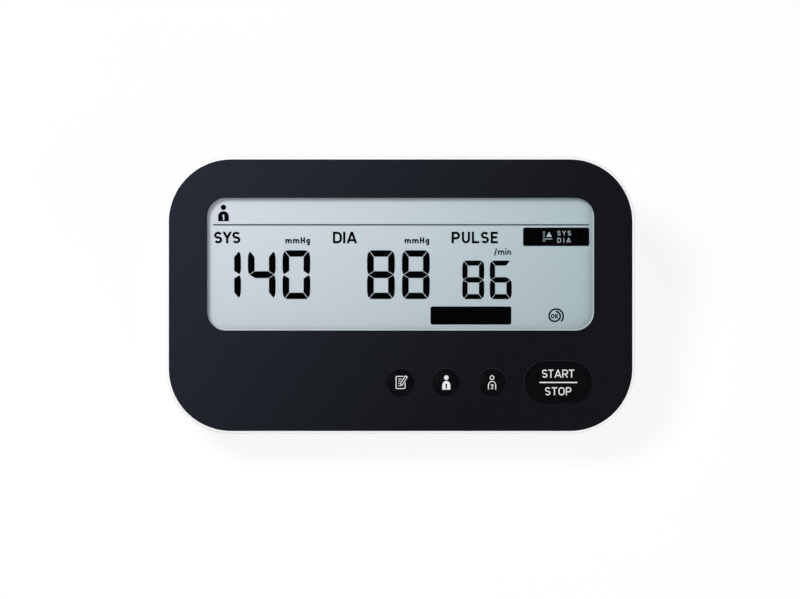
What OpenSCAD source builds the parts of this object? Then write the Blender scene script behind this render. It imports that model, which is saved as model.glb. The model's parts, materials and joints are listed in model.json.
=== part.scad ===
// Desk-top upper arm blood pressure monitor: a wedge-shaped case with a tilted face,
// a wide liquid crystal display, four keys, an air pump, an exhaust valve and four cells.
// The origin is on the table under the middle of the case. X runs to the user's right,
// Y away from the user and Z up. Face pieces are drawn on the tilted face: u across it,
// v up its slope and w out of it.

/* [Body] */
// Width of the case
body_w = 177; // [175:1:215]
// Length of the face, measured up its slope
face_l = 104.6; // [103:0.2:128]
// Radius of the case's corners, seen square to the face
corner_r = 24.6; // [22:0.2:27]
// Tilt of the face from the table, in degrees
tilt = 20; // [17:0.5:25]
// Height of the face's front edge above the table
front_h = 26; // [25:0.5:34]
// Depth of the upper shell, square to the face
upper_d = 20; // [18:0.5:20.5]
// Wall thickness of both shells
wall = 2.2; // [1.8:0.1:2.8]
// How far the lower shell stands in from the upper one
step_in = 0.6; // [0.3:0.1:1]
// Radius of the lower shell's upright back corners
back_r = 22; // [15:1:22]
// Thickness of the case's floor
floor_t = 2.2; // [1.8:0.1:2.8]
// Rounding of the lower shell's bottom edge
base_fillet = 1.6; // [0.5:0.1:2]
// Rounding of the rim around the face
rim_fillet = 1.2; // [0.5:0.1:2]

/* [Front panel] */
// White rim left around the dark panel
rim_w = 1.05; // [0.8:0.05:2]
// Thickness of the panel
panel_t = 1.2; // [1:0.1:1.6]
// Gap between the panel's edge and the rim
panel_gap = 0.1; // [0.05:0.05:0.2]
// Thickness of the shell's skin behind the panel
skin_t = 2.5; // [2.2:0.1:3]

/* [Display] */
// Width of the window in the panel
window_w = 146; // [120:1:147]
// Height of the window, up the slope
window_l = 50; // [40:1:52]
// Radius of the window's corners
window_r = 7; // [3:0.5:12]
// Middle of the window, above the middle of the face
window_v = 11.7; // [9:0.1:13]
// Thickness of the clear lens
lens_t = 1; // [0.8:0.1:1.4]
// How far the lens runs behind the panel's edge
lens_lap = 2.4; // [1.5:0.1:2.8]
// Thickness of the foam gasket between the lens and the display glass
gasket_t = 0.3; // [0.2:0.1:0.6]
// Thickness of the display's glass sandwich
glass_t = 2.2; // [1.4:0.1:2.4]
// How far the glass runs past the window
glass_lap = 3; // [2:0.5:3]
// Wall of the display holder
holder_wall = 1.4; // [1:0.1:1.6]

/* [Keys] */
// Diameter of the three round keys
key_d = 11.2; // [9:0.1:13.5]
// Width of the start and stop key
start_w = 26.1; // [20:0.1:27]
// Height of the start and stop key, up the slope
start_l = 16.8; // [12:0.1:17]
// Corner radius of the start and stop key
start_r = 7.8; // [4:0.1:8]
// Line of the keys, below the middle of the face
keys_v = -33; // [-34:0.1:-32.5]
// Distance between the round keys
key_pitch = 17.25; // [15.5:0.05:18]
// Middle of the start and stop key, right of the middle of the face
start_u = 59.5; // [57:0.5:59.5]
// Gap around a key in the panel
key_gap = 0.15; // [0.1:0.05:0.3]
// Travel of a key
key_travel = 0.8; // [0.5:0.1:0.8]
// Width of the flange that keeps a key in
flange_w = 1.1; // [0.8:0.1:1.2]
// Space behind the skin, down to the circuit board
board_drop = 6.6; // [6.4:0.1:7.5]

/* [Battery bay] */
// Diameter of a cell
cell_d = 14.5; // [14:0.1:14.6]
// Length of a cell with its button
cell_l = 50.5; // [49:0.1:51]
// Room between cells
cell_gap = 0.5; // [0.3:0.1:0.8]
// Length of a fitted contact spring
spring_l = 6; // [4:0.5:7]
// Thickness of the bay's walls
bay_wall = 1.6; // [1.2:0.1:1.8]
// Thickness of the battery cover
cover_t = 1.8; // [1.4:0.1:2]
// Gap around the battery cover
cover_gap = 0.3; // [0.2:0.05:0.4]

/* [Air path] */
// Radius of the socket that takes the cuff's air plug
plug_r = 2.25; // [2:0.05:2.6]
// Depth of that socket
plug_depth = 12; // [10:0.5:12]
// Radius of the hose nozzles
nozzle_r = 2.2; // [1.8:0.1:2.4]
// Radius of the air passages
air_r = 1.2; // [0.8:0.1:1.4]
// Length of a hose nozzle
nozzle_l = 4; // [3:0.5:4]
// Wall of the hoses
hose_wall = 1.2; // [0.8:0.1:1.4]
// Radius of the pump motor
motor_r = 12; // [10:0.5:12]
// Length of the pump motor's can
motor_l = 26; // [24:0.5:26]
// Slant of the pump's crank pin, in degrees
pin_slant = 12; // [6:1:12]

/* [Feet and fasteners] */
// Radius of a foot
foot_r = 3.8; // [3:0.1:4]
// Height that the feet lift the case
foot_h = 2; // [1.5:0.1:3]
// Depth that a foot is let into the floor
foot_let = 0.6; // [0.4:0.1:1]
// Radius of the case screws' shanks
case_screw_r = 1.4; // [1.2:0.1:1.5]
// Radius of the board screws' shanks
board_screw_r = 1.25; // [1:0.05:1.3]

/* [Hidden] */
$fn = 64;

// Small overrun that keeps a cut from ending on a face
over = 0.5;
// Gap between pieces that lie against each other on curved faces
fit_gap = 0.05;

// The face's frame. The case's front edge and its back parting corner are equally
// far from the origin, so the rounded rim's own reach is taken into account.
rim_reach = rim_fillet * (cos(tilt) + sin(tilt) - 1);
face_y = -(upper_d * sin(tilt) + rim_reach) / 2;
face_z = front_h + face_l / 2 * sin(tilt);

// Outlines, as sizes across and up the face
body_size = [body_w, face_l];
panel_size = body_size - 2 * (rim_w + panel_gap) * [1, 1];
panel_r = corner_r - rim_w - panel_gap;
window_size = [window_w, window_l];
lens_size = window_size + 2 * lens_lap * [1, 1];
glass_size = window_size + 2 * glass_lap * [1, 1];
holder_size = glass_size + 2 * (holder_wall + fit_gap) * [1, 1];

// Gap round the glass where it stands in the shell's skin
glass_gap = 0.4;

// Levels along the face's normal
skin_back = -panel_t - skin_t;
lens_back = -panel_t - lens_t;
glass_front = lens_back - gasket_t;
glass_back = glass_front - glass_t;
reflector_t = 0.3;
pocket_back = glass_back - reflector_t - fit_gap;
board_front = skin_back - board_drop;
board_t = 1.6;
board_back = board_front - board_t;

// Lower shell
side_x = body_w / 2 - step_in;
side_in = side_x - wall;
back_y = face_y + (face_l / 2 - step_in) * cos(tilt) + upper_d * sin(tilt);
back_in = back_y - wall;
floor_z = foot_h + floor_t;
lower_depth = 80;
// The upright back corners start a hair outside the flat sides, which they then meet
// on a line
skim = 0.02;
lip_gap = 0.1;
lip_t = 1.3;
lip_h = 2;

// Circuit board and the screws that hold it
board_size = body_size - 2 * wall * [1, 1] - [14, 5];
board_r = 20;
board_boss_r = 2.6;
boss_top_v = window_v + holder_size.y / 2 + board_boss_r + 0.4;
boss_low_v = window_v - holder_size.y / 2 - board_boss_r - 1;
board_screw_at = [
  [-62, boss_low_v], [-8.2, boss_low_v], [43, boss_low_v],
  [-55, boss_top_v], [0, boss_top_v], [55, boss_top_v]
];
board_screw_l = 5;
board_head_r = 2.2;
board_head_t = 1.5;

// Case screws: two in the front corners and two beside the display
case_boss_r = 3.6;
boss_bite = 0.6;
corner_reach = (corner_r - wall - case_boss_r + boss_bite) / sqrt(2);
case_corner_u = body_w / 2 - corner_r + corner_reach;
case_corner_v = -(face_l / 2 - corner_r + corner_reach);
case_side_u = body_w / 2 - wall - case_boss_r + boss_bite;
case_side_v = face_l / 2 - 43;
case_screw_at = [
  for (s = [-1, 1]) [s * case_corner_u, case_corner_v],
  for (s = [-1, 1]) [s * case_side_u, case_side_v]
];
post_r = 4.4;
seat_t = 4;
case_head_r = 2.7;
case_head_t = 2;
case_screw_l = 10;
recess_r = case_head_r + 0.4;

// Keys: name, middle and whether round
key_u = [0, key_pitch, 2 * key_pitch, start_u];
key_top = -0.1;
key_dish = 0.5;
key_fillet = 0.35;
key_edge = 0.75;
start_dish = 0.25;
flange_t = 0.8;
flange_top = skin_back - 0.1;
key_bottom = flange_top - flange_t;
mat_t = 0.8;
mat_margin = 3.4;
dome_r = 5;
dome_top_r = 3;
dome_h = 2;
dome_web = 0.6;
plunger_top = key_bottom - 0.1;
pill_r = 2;
pill_t = 0.5;
pill_gap = key_travel + 0.05;
contact_t = 0.03;

// Battery bay, beside the pump and against the back
contact_plate_t = 0.5;
cell_pitch = cell_d + cell_gap;
cell_count = 4;
bay_w = cell_count * cell_pitch + cell_gap;
bay_l = cell_l + spring_l + 2 * contact_plate_t;
bay_x0 = 5.5;
bay_x1 = bay_x0 + bay_w;
bay_y1 = back_in - 7.6;
bay_y0 = bay_y1 - bay_l;
cell_z = floor_z + 0.1 + cell_d / 2;
bay_top = cell_z + cell_d / 2 + 0.4;
cell_button_l = 1;
cell_button_r = 2.75;
cover_r = 2;
cover_z = foot_h + 0.05;
hinge_y = bay_y1 - cover_gap - cover_t / 2;
hinge_z = cover_z + cover_t / 2;
hook_w = 6;
hook_out = cover_t / 2 + cover_gap + 0.8;
hook_t = cover_t / 2;
hook_reach = norm([hook_out, hook_t]);
latch_w = 12;
latch_t = 1.1;
latch_top = floor_z + 2.1;
nib_h = 1;
nib_out = 0.8;
latch_room = 5;
latch_room_h = 1.3;

// Air path: socket, manifold, pump and valve, in line from the left wall
pump_case_w = 25;
motor_room = 2.4;
pump_room = 1.9;
air_z = floor_z + max(motor_r + motor_room, pump_case_w / 2 + pump_room);
jack_y = 5;
jack_x = -body_w / 2;
jack_r = 5.4;
jack_end = 1.2;
jack_flange_in = 2;
hose_break = 1;
jack_tip_x = jack_x + plug_depth + jack_end + nozzle_l;
manifold_x0 = jack_tip_x + hose_break + nozzle_l;
manifold_w = 7;
manifold_x1 = manifold_x0 + manifold_w;
manifold_h = 10;
device_tip_x = manifold_x1 + nozzle_l + hose_break;
pump_y = back_in - 19.4;
valve_y = jack_y + 3;
manifold_y0 = 0;
manifold_y1 = pump_y + 5;
sensor_u = (manifold_x0 + manifold_x1) / 2;
sensor_y = 17;
hose_r = nozzle_r + fit_gap + hose_wall;

// Pump: z 0 is where the motor meets the pump's case, and z runs to the nozzle
pump_case_l = 16;
membrane_t = 0.8;
valve_plate_t = 2;
head_t = 3.2;
pump_stack = pump_case_l + membrane_t + valve_plate_t + head_t;
pump_x = device_tip_x + pump_stack + nozzle_l;
can_t = 1;
bush_r = 3;
shaft_r = 1;
running_gap = 0.04;
cap_l = 2;
pivot_z = 10.2;
crank_z0 = 1.4;
crank_z1 = 6;
crank_r = 5;
crank_pin_r = 0.75;
arm_r = 7;
cup_r = 3.4;
cup_depth = 2.6;
stem_r = 0.9;
grommet_t = 2;
grommet_w = 4;
grommet_z = [-8, -22];
pump_screw_at = 10.3;
pump_screw_r = 1;

// Valve: z 0 is where the cap meets the steel frame, and z runs to the nozzle
valve_w = 13;
valve_l = 18;
valve_cap_t = 3;
valve_x = device_tip_x + valve_cap_t + nozzle_l;
frame_t = 1;
plunger_r = 2.4;
plunger_gap = 0.08;
valve_travel = 0.6;

// Power socket in the right wall
dc_y = jack_y;
dc_z = floor_z + 9;
dc_barrel_r = 3.9;
dc_bore_r = 2.9;
dc_pin_r = 0.85;
dc_depth = 9.5;
dc_l = 14;

// Feet, on the table under the four corners
foot_front = [body_w / 2 - 24.5, face_y - face_l / 2 * cos(tilt) + front_h * tan(tilt) + 10];
foot_back = [side_x - 15.4, back_y - 10];

// ---------- Frames and shapes ----------

// A place on the tilted face, at its middle unless u, v and w say otherwise
module on_face(u = 0, v = 0, w = 0) {
  translate([0, face_y, face_z]) rotate([tilt, 0, 0]) translate([u, v, w]) children();
}

// The pump's frame, whose z runs towards the left wall
module at_pump() {
  translate([pump_x, pump_y, air_z]) rotate([0, -90, 0]) children();
}

// The valve's frame, whose z runs towards the left wall
module at_valve() {
  translate([valve_x, valve_y, air_z]) rotate([0, -90, 0]) children();
}

// The slanted pin's frame inside the pump, with its origin at the wobble plate's pivot
module at_pin() {
  translate([0, 0, pivot_z]) rotate([0, pin_slant, 0]) children();
}

// Rounded rectangle about the origin
module rounded_rect(size, r) {
  square([size.x - 2 * r, size.y], center = true);
  square([size.x, size.y - 2 * r], center = true);
  for (x = [-1, 1], y = [-1, 1])
    translate([x * (size.x / 2 - r), y * (size.y / 2 - r)]) circle(r);
}

// Rounded rectangle between two levels
module plate(size, r, z0, z1) {
  translate([0, 0, z0]) linear_extrude(z1 - z0) rounded_rect(size, r);
}

// Rod of radius r between two levels
module rod(r, z0, z1) {
  translate([0, 0, z0]) cylinder(r = r, h = z1 - z0);
}

// Tube between two levels
module pipe(r, bore, z0, z1) {
  difference() {
    rod(r, z0, z1);
    rod(bore, z0 - over, z1 + over);
  }
}

// Box centred on x and y between two levels
module block(size, z0, z1) {
  translate([-size.x / 2, -size.y / 2, z0]) cube([size.x, size.y, z1 - z0]);
}

// Profile of a slab's edge: square at the bottom and rounded at the top
module edge_profile(r, depth, fillet) {
  square([r - fillet, depth]);
  square([r, depth - fillet]);
  translate([r - fillet, depth - fillet]) circle(fillet);
}

// Slab with a rounded upper edge, hanging from z 0: four turned corners, four
// straight sides and a core
module filleted_slab(size, r, depth, fillet) {
  cx = size.x / 2 - r;
  cy = size.y / 2 - r;
  translate([0, 0, -depth]) {
    for (q = [[1, 1, 0], [-1, 1, 90], [-1, -1, 180], [1, -1, 270]])
      translate([q.x * cx, q.y * cy, 0]) rotate([0, 0, q.z])
        rotate_extrude(angle = 90) edge_profile(r, depth, fillet);
    for (s = [0, 180]) rotate([0, 0, s]) {
      translate([cx, cy, 0]) rotate([90, 0, 0])
        linear_extrude(2 * cy) edge_profile(r, depth, fillet);
      translate([-cx, cy, 0]) rotate([90, 0, 90])
        linear_extrude(2 * cx) edge_profile(r, depth, fillet);
    }
    translate([-cx, -cy, 0]) cube([2 * cx, 2 * cy, depth]);
  }
}

// Screw with a pan head: the head's seat is at z 0 and the shank runs up
module pan_screw(shank_r, shank_l, head_r, head_t) {
  difference() {
    union() {
      rod(shank_r, 0, shank_l);
      rod(head_r, -head_t, 0);
    }
    for (a = [0, 90]) rotate([0, 0, a])
      block([head_r * 1.3, 0.6], -head_t - over, -head_t * 0.45);
  }
}

// Sweeps: rings of points square to a path, turned as little as possible
function unit(a) = a / norm(a);
function heading(p, i) = unit(p[min(i + 1, len(p) - 1)] - p[max(i - 1, 0)]);
function any_side(h) = unit(cross(h, abs(h.z) < 0.9 ? [0, 0, 1] : [1, 0, 0]));
function sides_of(p, i = 0, s = undef) =
  i == len(p) ? [] :
  let (h = heading(p, i), t = s == undef ? any_side(h) : s, u = unit(t - h * (t * h)))
    concat([u], sides_of(p, i + 1, u));
function bezier(p, t) =
  pow(1 - t, 3) * p[0] + 3 * t * pow(1 - t, 2) * p[1]
  + 3 * t * t * (1 - t) * p[2] + pow(t, 3) * p[3];
function curve(p, steps) = [for (i = [0:steps]) bezier(p, i / steps)];
function coil(r0, r1, height, turns, steps) = [
  for (i = [0:turns * steps])
    let (f = i / (turns * steps), a = 360 * i / steps)
      [(r0 + (r1 - r0) * f) * cos(a), (r0 + (r1 - r0) * f) * sin(a), height * f]
];

module sweep(path, r, n = 8) {
  side = sides_of(path);
  last = len(path) - 1;
  points = [
    for (i = [0:last], k = [0:n - 1])
      let (h = heading(path, i), a = 360 * k / n)
        path[i] + r * (cos(a) * side[i] + sin(a) * cross(h, side[i]))
  ];
  polyhedron(points, concat(
    [[for (k = [0:n - 1]) k], [for (k = [n - 1:-1:0]) last * n + k]],
    [for (i = [0:last - 1], k = [0:n - 1])
      [i * n + k, (i + 1) * n + k, (i + 1) * n + (k + 1) % n, i * n + (k + 1) % n]]
  ));
}

// ---------- Front ----------

module key_outline(i, grow) {
  if (i < 3) circle(key_d / 2 + grow);
  else rounded_rect([start_w, start_l] + 2 * grow * [1, 1], start_r + grow);
}

module key_holes(z0, z1) {
  for (i = [0:3])
    translate([key_u[i], keys_v, z0]) linear_extrude(z1 - z0) key_outline(i, key_gap);
}

module front_panel() {
  color([0.10, 0.115, 0.14]) on_face() difference() {
    plate(panel_size, panel_r, -panel_t, 0);
    translate([0, window_v, 0]) plate(window_size, window_r, -panel_t - over, over);
    key_holes(-panel_t - over, over);
  }
}

module display_lens() {
  color([0.85, 0.9, 0.92, 0.3]) on_face(0, window_v)
    plate(lens_size, window_r + lens_lap, lens_back, -panel_t);
}

module upper_shell() {
  color("white") on_face() difference() {
    union() {
      difference() {
        filleted_slab(body_size, corner_r, upper_d, rim_fillet);
        plate(body_size - 2 * wall * [1, 1], corner_r - wall, -upper_d - over, skin_back);
      }
      for (p = board_screw_at) translate(p) rod(board_boss_r, board_front, skin_back + over);
      for (p = case_screw_at) translate(p) rod(case_boss_r, -upper_d, skin_back + over);
    }
    plate(panel_size + 2 * panel_gap * [1, 1], panel_r + panel_gap, -panel_t, over);
    translate([0, window_v, 0])
      plate(glass_size + 2 * glass_gap * [1, 1], 1, skin_back - over, over);
    key_holes(skin_back - over, over);
    for (p = board_screw_at) translate(p)
      rod(board_screw_r, board_front - over, board_front + board_screw_l);
    for (p = case_screw_at) translate(p)
      rod(case_screw_r, -upper_d - over, -upper_d - seat_t + case_screw_l + over);
  }
}

// ---------- Lower shell ----------

// Upright block of a half size, rounded along its lower edge unless it is the inside
module upright(half, r, inside) {
  if (inside) linear_extrude(lower_depth) rounded_rect(2 * half, r);
  else rotate([180, 0, 0]) filleted_slab(2 * half, r, lower_depth, base_fillet);
}

// The lower shell's outer shape, or its inside when inset by the wall
module wedge(inset, bottom) {
  intersection() {
    on_face() plate(body_size - 2 * (step_in + inset) * [1, 1],
      corner_r - step_in - inset, -lower_depth, -upper_d + (inset > 0 ? over : 0));
    translate([0, -body_w, bottom]) upright([side_x + skim, body_w + back_y] - inset * [1, 1],
      back_r - inset, inset > 0);
  }
}

module post() {
  rod(post_r, -lower_depth, -upper_d);
}

module bay_box(grow, z0, z1) {
  translate([bay_x0 - grow, bay_y0 - grow, z0])
    cube([bay_w + 2 * grow, bay_l + 2 * grow, z1 - z0]);
}

// Outline of the bay's mouth: rounded in front, square along the hinge
module bay_mouth(inset, z0, z1) {
  r = cover_r + cover_gap - inset;
  translate([bay_x0 + bay_w / 2, bay_y0 + bay_l / 2, 0])
    plate([bay_w, bay_l] - 2 * inset * [1, 1], r, z0, z1);
  translate([bay_x0 + inset, bay_y0 + bay_l / 2, z0])
    cube([bay_w - 2 * inset, bay_l / 2 - inset, z1 - z0]);
}

// Saddle under one of the motor's grommets
module saddle(z) {
  translate([0, 0, z]) difference() {
    translate([-air_z + floor_z - over, -motor_r - grommet_t, -grommet_w / 2])
      cube([air_z - floor_z + over - 4, 2 * (motor_r + grommet_t), grommet_w]);
    rod(motor_r + grommet_t + fit_gap, -grommet_w, grommet_w);
  }
}

// Cradle that holds the valve's steel frame
module valve_cradle() {
  difference() {
    translate([valve_x + 2, valve_y - valve_w / 2 - 1.5, floor_z - over])
      cube([valve_l - 4, valve_w + 3, air_z - valve_w / 2 - floor_z + 2.5]);
    translate([valve_x, valve_y - valve_w / 2 - fit_gap, air_z - valve_w / 2 - fit_gap])
      cube([valve_l, valve_w + 2 * fit_gap, valve_w]);
  }
}

// Ribs under the manifold and the power socket
module low_ribs() {
  for (y = [manifold_y0 + 4, manifold_y1 - 7])
    translate([manifold_x0 + 1, y, floor_z - over])
      cube([manifold_w - 2, 3, air_z - manifold_h / 2 - floor_z + over]);
  translate([side_in - dc_l + 2, dc_y - 3, floor_z - over])
    cube([dc_l - 4, 6, dc_z - 5.5 - floor_z + over]);
}

module lip() {
  inset = wall + lip_gap;
  on_face() difference() {
    plate(body_size - 2 * inset * [1, 1], corner_r - inset, -upper_d - 3, -upper_d + lip_h);
    plate(body_size - 2 * (inset + lip_t) * [1, 1], corner_r - inset - lip_t,
      -upper_d - 3 - over, -upper_d + lip_h + over);
    for (p = case_screw_at) translate(p)
      rod(case_boss_r + 0.4, -upper_d, -upper_d + lip_h + over);
  }
}

module feet_at() {
  for (s = [-1, 1]) {
    translate([s * foot_front.x, foot_front.y, 0]) children();
    translate([s * foot_back.x, foot_back.y, 0]) children();
  }
}

// Posts, bay, saddles and ribs that stand in the lower shell's cavity
module lower_insides() {
  for (p = case_screw_at) on_face(p.x, p.y) post();
  bay_box(bay_wall, 0, bay_top + bay_wall);
  at_pump() for (z = grommet_z) saddle(z);
  valve_cradle();
  low_ribs();
}

module lower_shell() {
  color("whitesmoke") difference() {
    union() {
      difference() {
        wedge(0, foot_h);
        difference() {
          wedge(wall, floor_z);
          lower_insides();
        }
      }
      lip();
    }
    bay_box(0, foot_h + cover_t + 0.2, bay_top);
    bay_mouth(0, 0, floor_z);
    for (p = case_screw_at) on_face(p.x, p.y) {
      rod(case_screw_r + 0.2, -upper_d - seat_t - over, -upper_d + over);
      rod(recess_r, -lower_depth, -upper_d - seat_t);
    }
    for (x = hook_x())
      translate([x - hook_w / 2 - cover_gap, hinge_y, hinge_z - 0.15])
        cube([hook_w + 2 * cover_gap, hook_reach + 0.15, hook_reach + 0.3]);
    translate([bay_x0 + bay_w / 2 - latch_w / 2 - 1, bay_y0 - latch_room, 0])
      cube([latch_w + 2, latch_room + over, foot_h + latch_room_h]);
    translate([bay_x0 + bay_w / 2 - latch_w / 2 - 1, bay_y0 - nib_out - 0.4, 0])
      cube([latch_w + 2, nib_out + 0.4 + over, latch_top + 0.3]);
    feet_at() rod(foot_r, 0, foot_h + foot_let);
    translate([jack_x - over, jack_y, air_z]) rotate([0, 90, 0])
      cylinder(r = jack_r + fit_gap, h = step_in + wall + jack_flange_in + 2 * over);
    translate([side_in - over, dc_y, dc_z]) rotate([0, 90, 0])
      cylinder(r = dc_barrel_r + 0.15, h = wall + 2 * over + step_in);
  }
}

// The two hooks on the back edge of the battery cover
function hook_x() = [for (s = [-1, 1]) bay_x0 + bay_w / 2 + s * bay_w / 4];

module battery_cover() {
  grip_w = 14;
  grip_pitch = 1.6;
  color("whitesmoke") difference() {
    union() {
      difference() {
        bay_mouth(cover_gap, cover_z, cover_z + cover_t);
        translate([bay_x0, hinge_y, 0]) cube([bay_w, cover_t, foot_h + 2 * cover_t]);
      }
      translate([bay_x0 + cover_gap, hinge_y, hinge_z]) rotate([0, 90, 0])
        cylinder(r = cover_t / 2 - 0.05, h = bay_w - 2 * cover_gap);
      for (x = hook_x()) translate([x - hook_w / 2, hinge_y - 1, hinge_z])
        cube([hook_w, 1 + hook_out, hook_t - 0.1]);
    }
    for (i = [0:4])
      translate([bay_x0 + bay_w / 2 - grip_w / 2, bay_y0 + 4 + grip_pitch * i, cover_z - over])
        cube([grip_w, grip_pitch / 2, over + 0.4]);
  }
}

// Springy tongue on the cover's front edge, with a nib in a groove of the bay's wall
module cover_latch() {
  y = bay_y0 + cover_gap;
  z = cover_z + cover_t;
  nib_y = bay_y0 - nib_out;
  color("whitesmoke") translate([bay_x0 + bay_w / 2 - latch_w / 2, 0, 0]) {
    translate([0, y, z]) cube([latch_w, latch_t, latch_top - z]);
    translate([0, nib_y, latch_top - nib_h]) cube([latch_w, y + latch_t - nib_y, nib_h]);
  }
}

module feet() {
  color([0.35, 0.36, 0.38]) feet_at() rod(foot_r, 0, foot_h + foot_let);
}

module case_screws() {
  color("silver") for (p = case_screw_at) on_face(p.x, p.y, -upper_d - seat_t)
    pan_screw(case_screw_r, case_screw_l, case_head_r, case_head_t);
}

// ---------- Sockets ----------

// Socket for the cuff's air plug, with a hose nozzle at its inner end
module air_jack() {
  color([0.82, 0.84, 0.86]) translate([jack_x, jack_y, air_z]) rotate([0, 90, 0])
    difference() {
      union() {
        rod(jack_r - 1, 0, plug_depth + jack_end);
        rod(jack_r, step_in, step_in + wall + jack_flange_in);
        rod(nozzle_r, plug_depth, plug_depth + jack_end + nozzle_l);
      }
      rod(plug_r, -over, plug_depth);
      rod(air_r, 0, plug_depth + jack_end + nozzle_l + over);
    }
}

// Coloured ring round the mouth of the air socket
module air_jack_ring() {
  color([0.45, 0.5, 0.56]) translate([jack_x, jack_y, air_z]) rotate([0, 90, 0])
    pipe(jack_r, jack_r - 1 + fit_gap, 0.1, step_in);
}

module dc_jack() {
  color([0.13, 0.13, 0.14]) translate([side_x - 0.3, dc_y, dc_z]) rotate([0, -90, 0])
    difference() {
      union() {
        rod(dc_barrel_r, 0, wall + 0.5);
        block([11, 9], wall + 0.3, dc_l);
      }
      rod(dc_bore_r, -over, dc_depth);
    }
}

module dc_jack_pin() {
  color("silver") translate([side_x - 0.3, dc_y, dc_z]) rotate([0, -90, 0])
    rod(dc_pin_r, 1, dc_depth);
}

// ---------- Display ----------

module display_gasket() {
  gasket_in = 0.3;
  gasket_out = 0.8;
  color([0.12, 0.12, 0.13]) on_face(0, window_v) difference() {
    plate(lens_size - 2 * gasket_in * [1, 1], window_r + lens_lap - gasket_in,
      glass_front, lens_back);
    plate(window_size + 2 * gasket_out * [1, 1], window_r + gasket_out,
      glass_front - over, lens_back + over);
  }
}

module lcd_glass() {
  color([0.7, 0.78, 0.8]) on_face(0, window_v) block(glass_size, glass_back, glass_front);
}

module lcd_reflector() {
  color([0.75, 0.8, 0.82]) on_face(0, window_v + 2)
    block(glass_size - [2, 5], glass_back - reflector_t, glass_back);
}

strip_v = -glass_size.y / 2 + 1.5;
strip_l = 2;

module lcd_holder() {
  ledge = 3;
  color([0.9, 0.9, 0.88]) on_face(0, window_v) difference() {
    block(holder_size, board_front, skin_back - 0.1);
    block(glass_size + 2 * fit_gap * [1, 1], pocket_back, over);
    translate([0, 2, 0]) block(glass_size - [2 * ledge, 2 * ledge + 4], board_front - over, over);
    translate([0, strip_v, 0]) block([window_w - 6 + 0.2, strip_l + 0.2], board_front - over, over);
  }
}

// Rubber strip that joins the glass to the board
module lcd_contact_strip() {
  color([0.35, 0.3, 0.32]) on_face(0, window_v + strip_v)
    block([window_w - 6, strip_l], board_front, glass_back);
}

// ---------- Keys ----------

module button(i) {
  depth = key_top - key_bottom;
  on_face(key_u[i], keys_v) difference() {
    union() {
      translate([0, 0, key_top]) {
        if (i < 3) translate([0, 0, -depth]) rotate_extrude()
          edge_profile(key_d / 2, depth, key_fillet);
        else filleted_slab([start_w, start_l], start_r, depth, key_fillet);
      }
      translate([0, 0, key_bottom]) linear_extrude(flange_t) key_outline(i, flange_w);
    }
    if (i < 3) {
      dish_r = key_d / 2 - key_edge;
      ball_r = (dish_r * dish_r + key_dish * key_dish) / (2 * key_dish);
      translate([0, 0, key_top - key_dish + ball_r]) rotate([90, 0, 0])
        sphere(ball_r, $fn = 128);
    } else
      plate([start_w, start_l] - 2 * key_edge * [1, 1], start_r - key_edge,
        key_top - start_dish, over);
  }
}

module button_memory() { color([0.05, 0.05, 0.06]) button(0); }
module button_user_1() { color([0.05, 0.05, 0.06]) button(1); }
module button_user_2() { color([0.05, 0.05, 0.06]) button(2); }
module button_start_stop() { color([0.03, 0.03, 0.04]) button(3); }

// Silicone mat: a sheet on the board with a collapsing dome under each key
module key_mat() {
  pad = mat_margin + key_d / 2;
  left = key_u[0] - pad;
  right = start_u + start_w / 2 - 0.5;
  color([0.55, 0.56, 0.58]) on_face(0, keys_v, board_front) difference() {
    union() {
      translate([left, -dome_r - 3, 0]) cube([right - left, 2 * dome_r + 6, mat_t]);
      for (u = key_u) translate([u, 0, 0]) {
        translate([0, 0, mat_t]) cylinder(r1 = dome_r, r2 = dome_top_r, h = dome_h - mat_t);
        rod(dome_top_r, mat_t, plunger_top - board_front);
      }
    }
    for (u = key_u) translate([u, 0, 0]) {
      rod(dome_r - dome_web, -over, 0.2);
      translate([0, 0, 0.19])
        cylinder(r1 = dome_r - dome_web, r2 = dome_top_r - 0.4, h = pill_gap + pill_t - 0.19);
    }
  }
}

module pill(i) {
  color([0.08, 0.08, 0.08]) on_face(key_u[i], keys_v, board_front)
    rod(pill_r, pill_gap, pill_gap + pill_t);
}

module pill_memory() { pill(0); }
module pill_user_1() { pill(1); }
module pill_user_2() { pill(2); }
module pill_start_stop() { pill(3); }

// ---------- Circuit board ----------

module main_board() {
  color([0.1, 0.4, 0.22]) on_face() difference() {
    plate(board_size, board_r, board_back, board_front);
    for (p = board_screw_at) translate(p) rod(board_screw_r + 0.15, board_back - over, board_front + over);
    for (p = case_screw_at) translate(p) rod(case_boss_r + 0.8, board_back - over, board_front + over);
  }
}

module board_screws() {
  color("silver") for (p = board_screw_at) on_face(p.x, p.y, board_back)
    pan_screw(board_screw_r, board_t + board_screw_l - 0.3, board_head_r, board_head_t);
}

// Gold contact discs under the carbon pills
module key_contacts() {
  color("gold") for (u = key_u) for (s = [-1, 1]) on_face(u, keys_v, board_front)
    intersection() {
      rod(pill_r + 0.4, 0, contact_t);
      translate([s * 2.2, 0, 0]) block([4, 6], -over, over);
    }
}

// A square chip with legs on its four sides, hanging from the board's back
module microcontroller() {
  chip_w = 14;
  pitch = 0.8;
  color([0.1, 0.1, 0.11]) on_face(-8, 6, board_back) {
    block([chip_w, chip_w], -1.6, -0.2);
    for (a = [0:90:270], i = [-7:7]) rotate([0, 0, a])
      translate([chip_w / 2 + 0.4, i * pitch, 0]) block([0.9, 0.35], -0.9, 0);
  }
}

// Wireless module: a small board with a steel can
module radio_module() {
  color([0.75, 0.76, 0.78]) on_face(50, -30, board_back) {
    block([16, 12], -0.8, 0);
    translate([2, 0, 0]) block([11, 10.5], -2.4, -0.8);
  }
}

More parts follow.
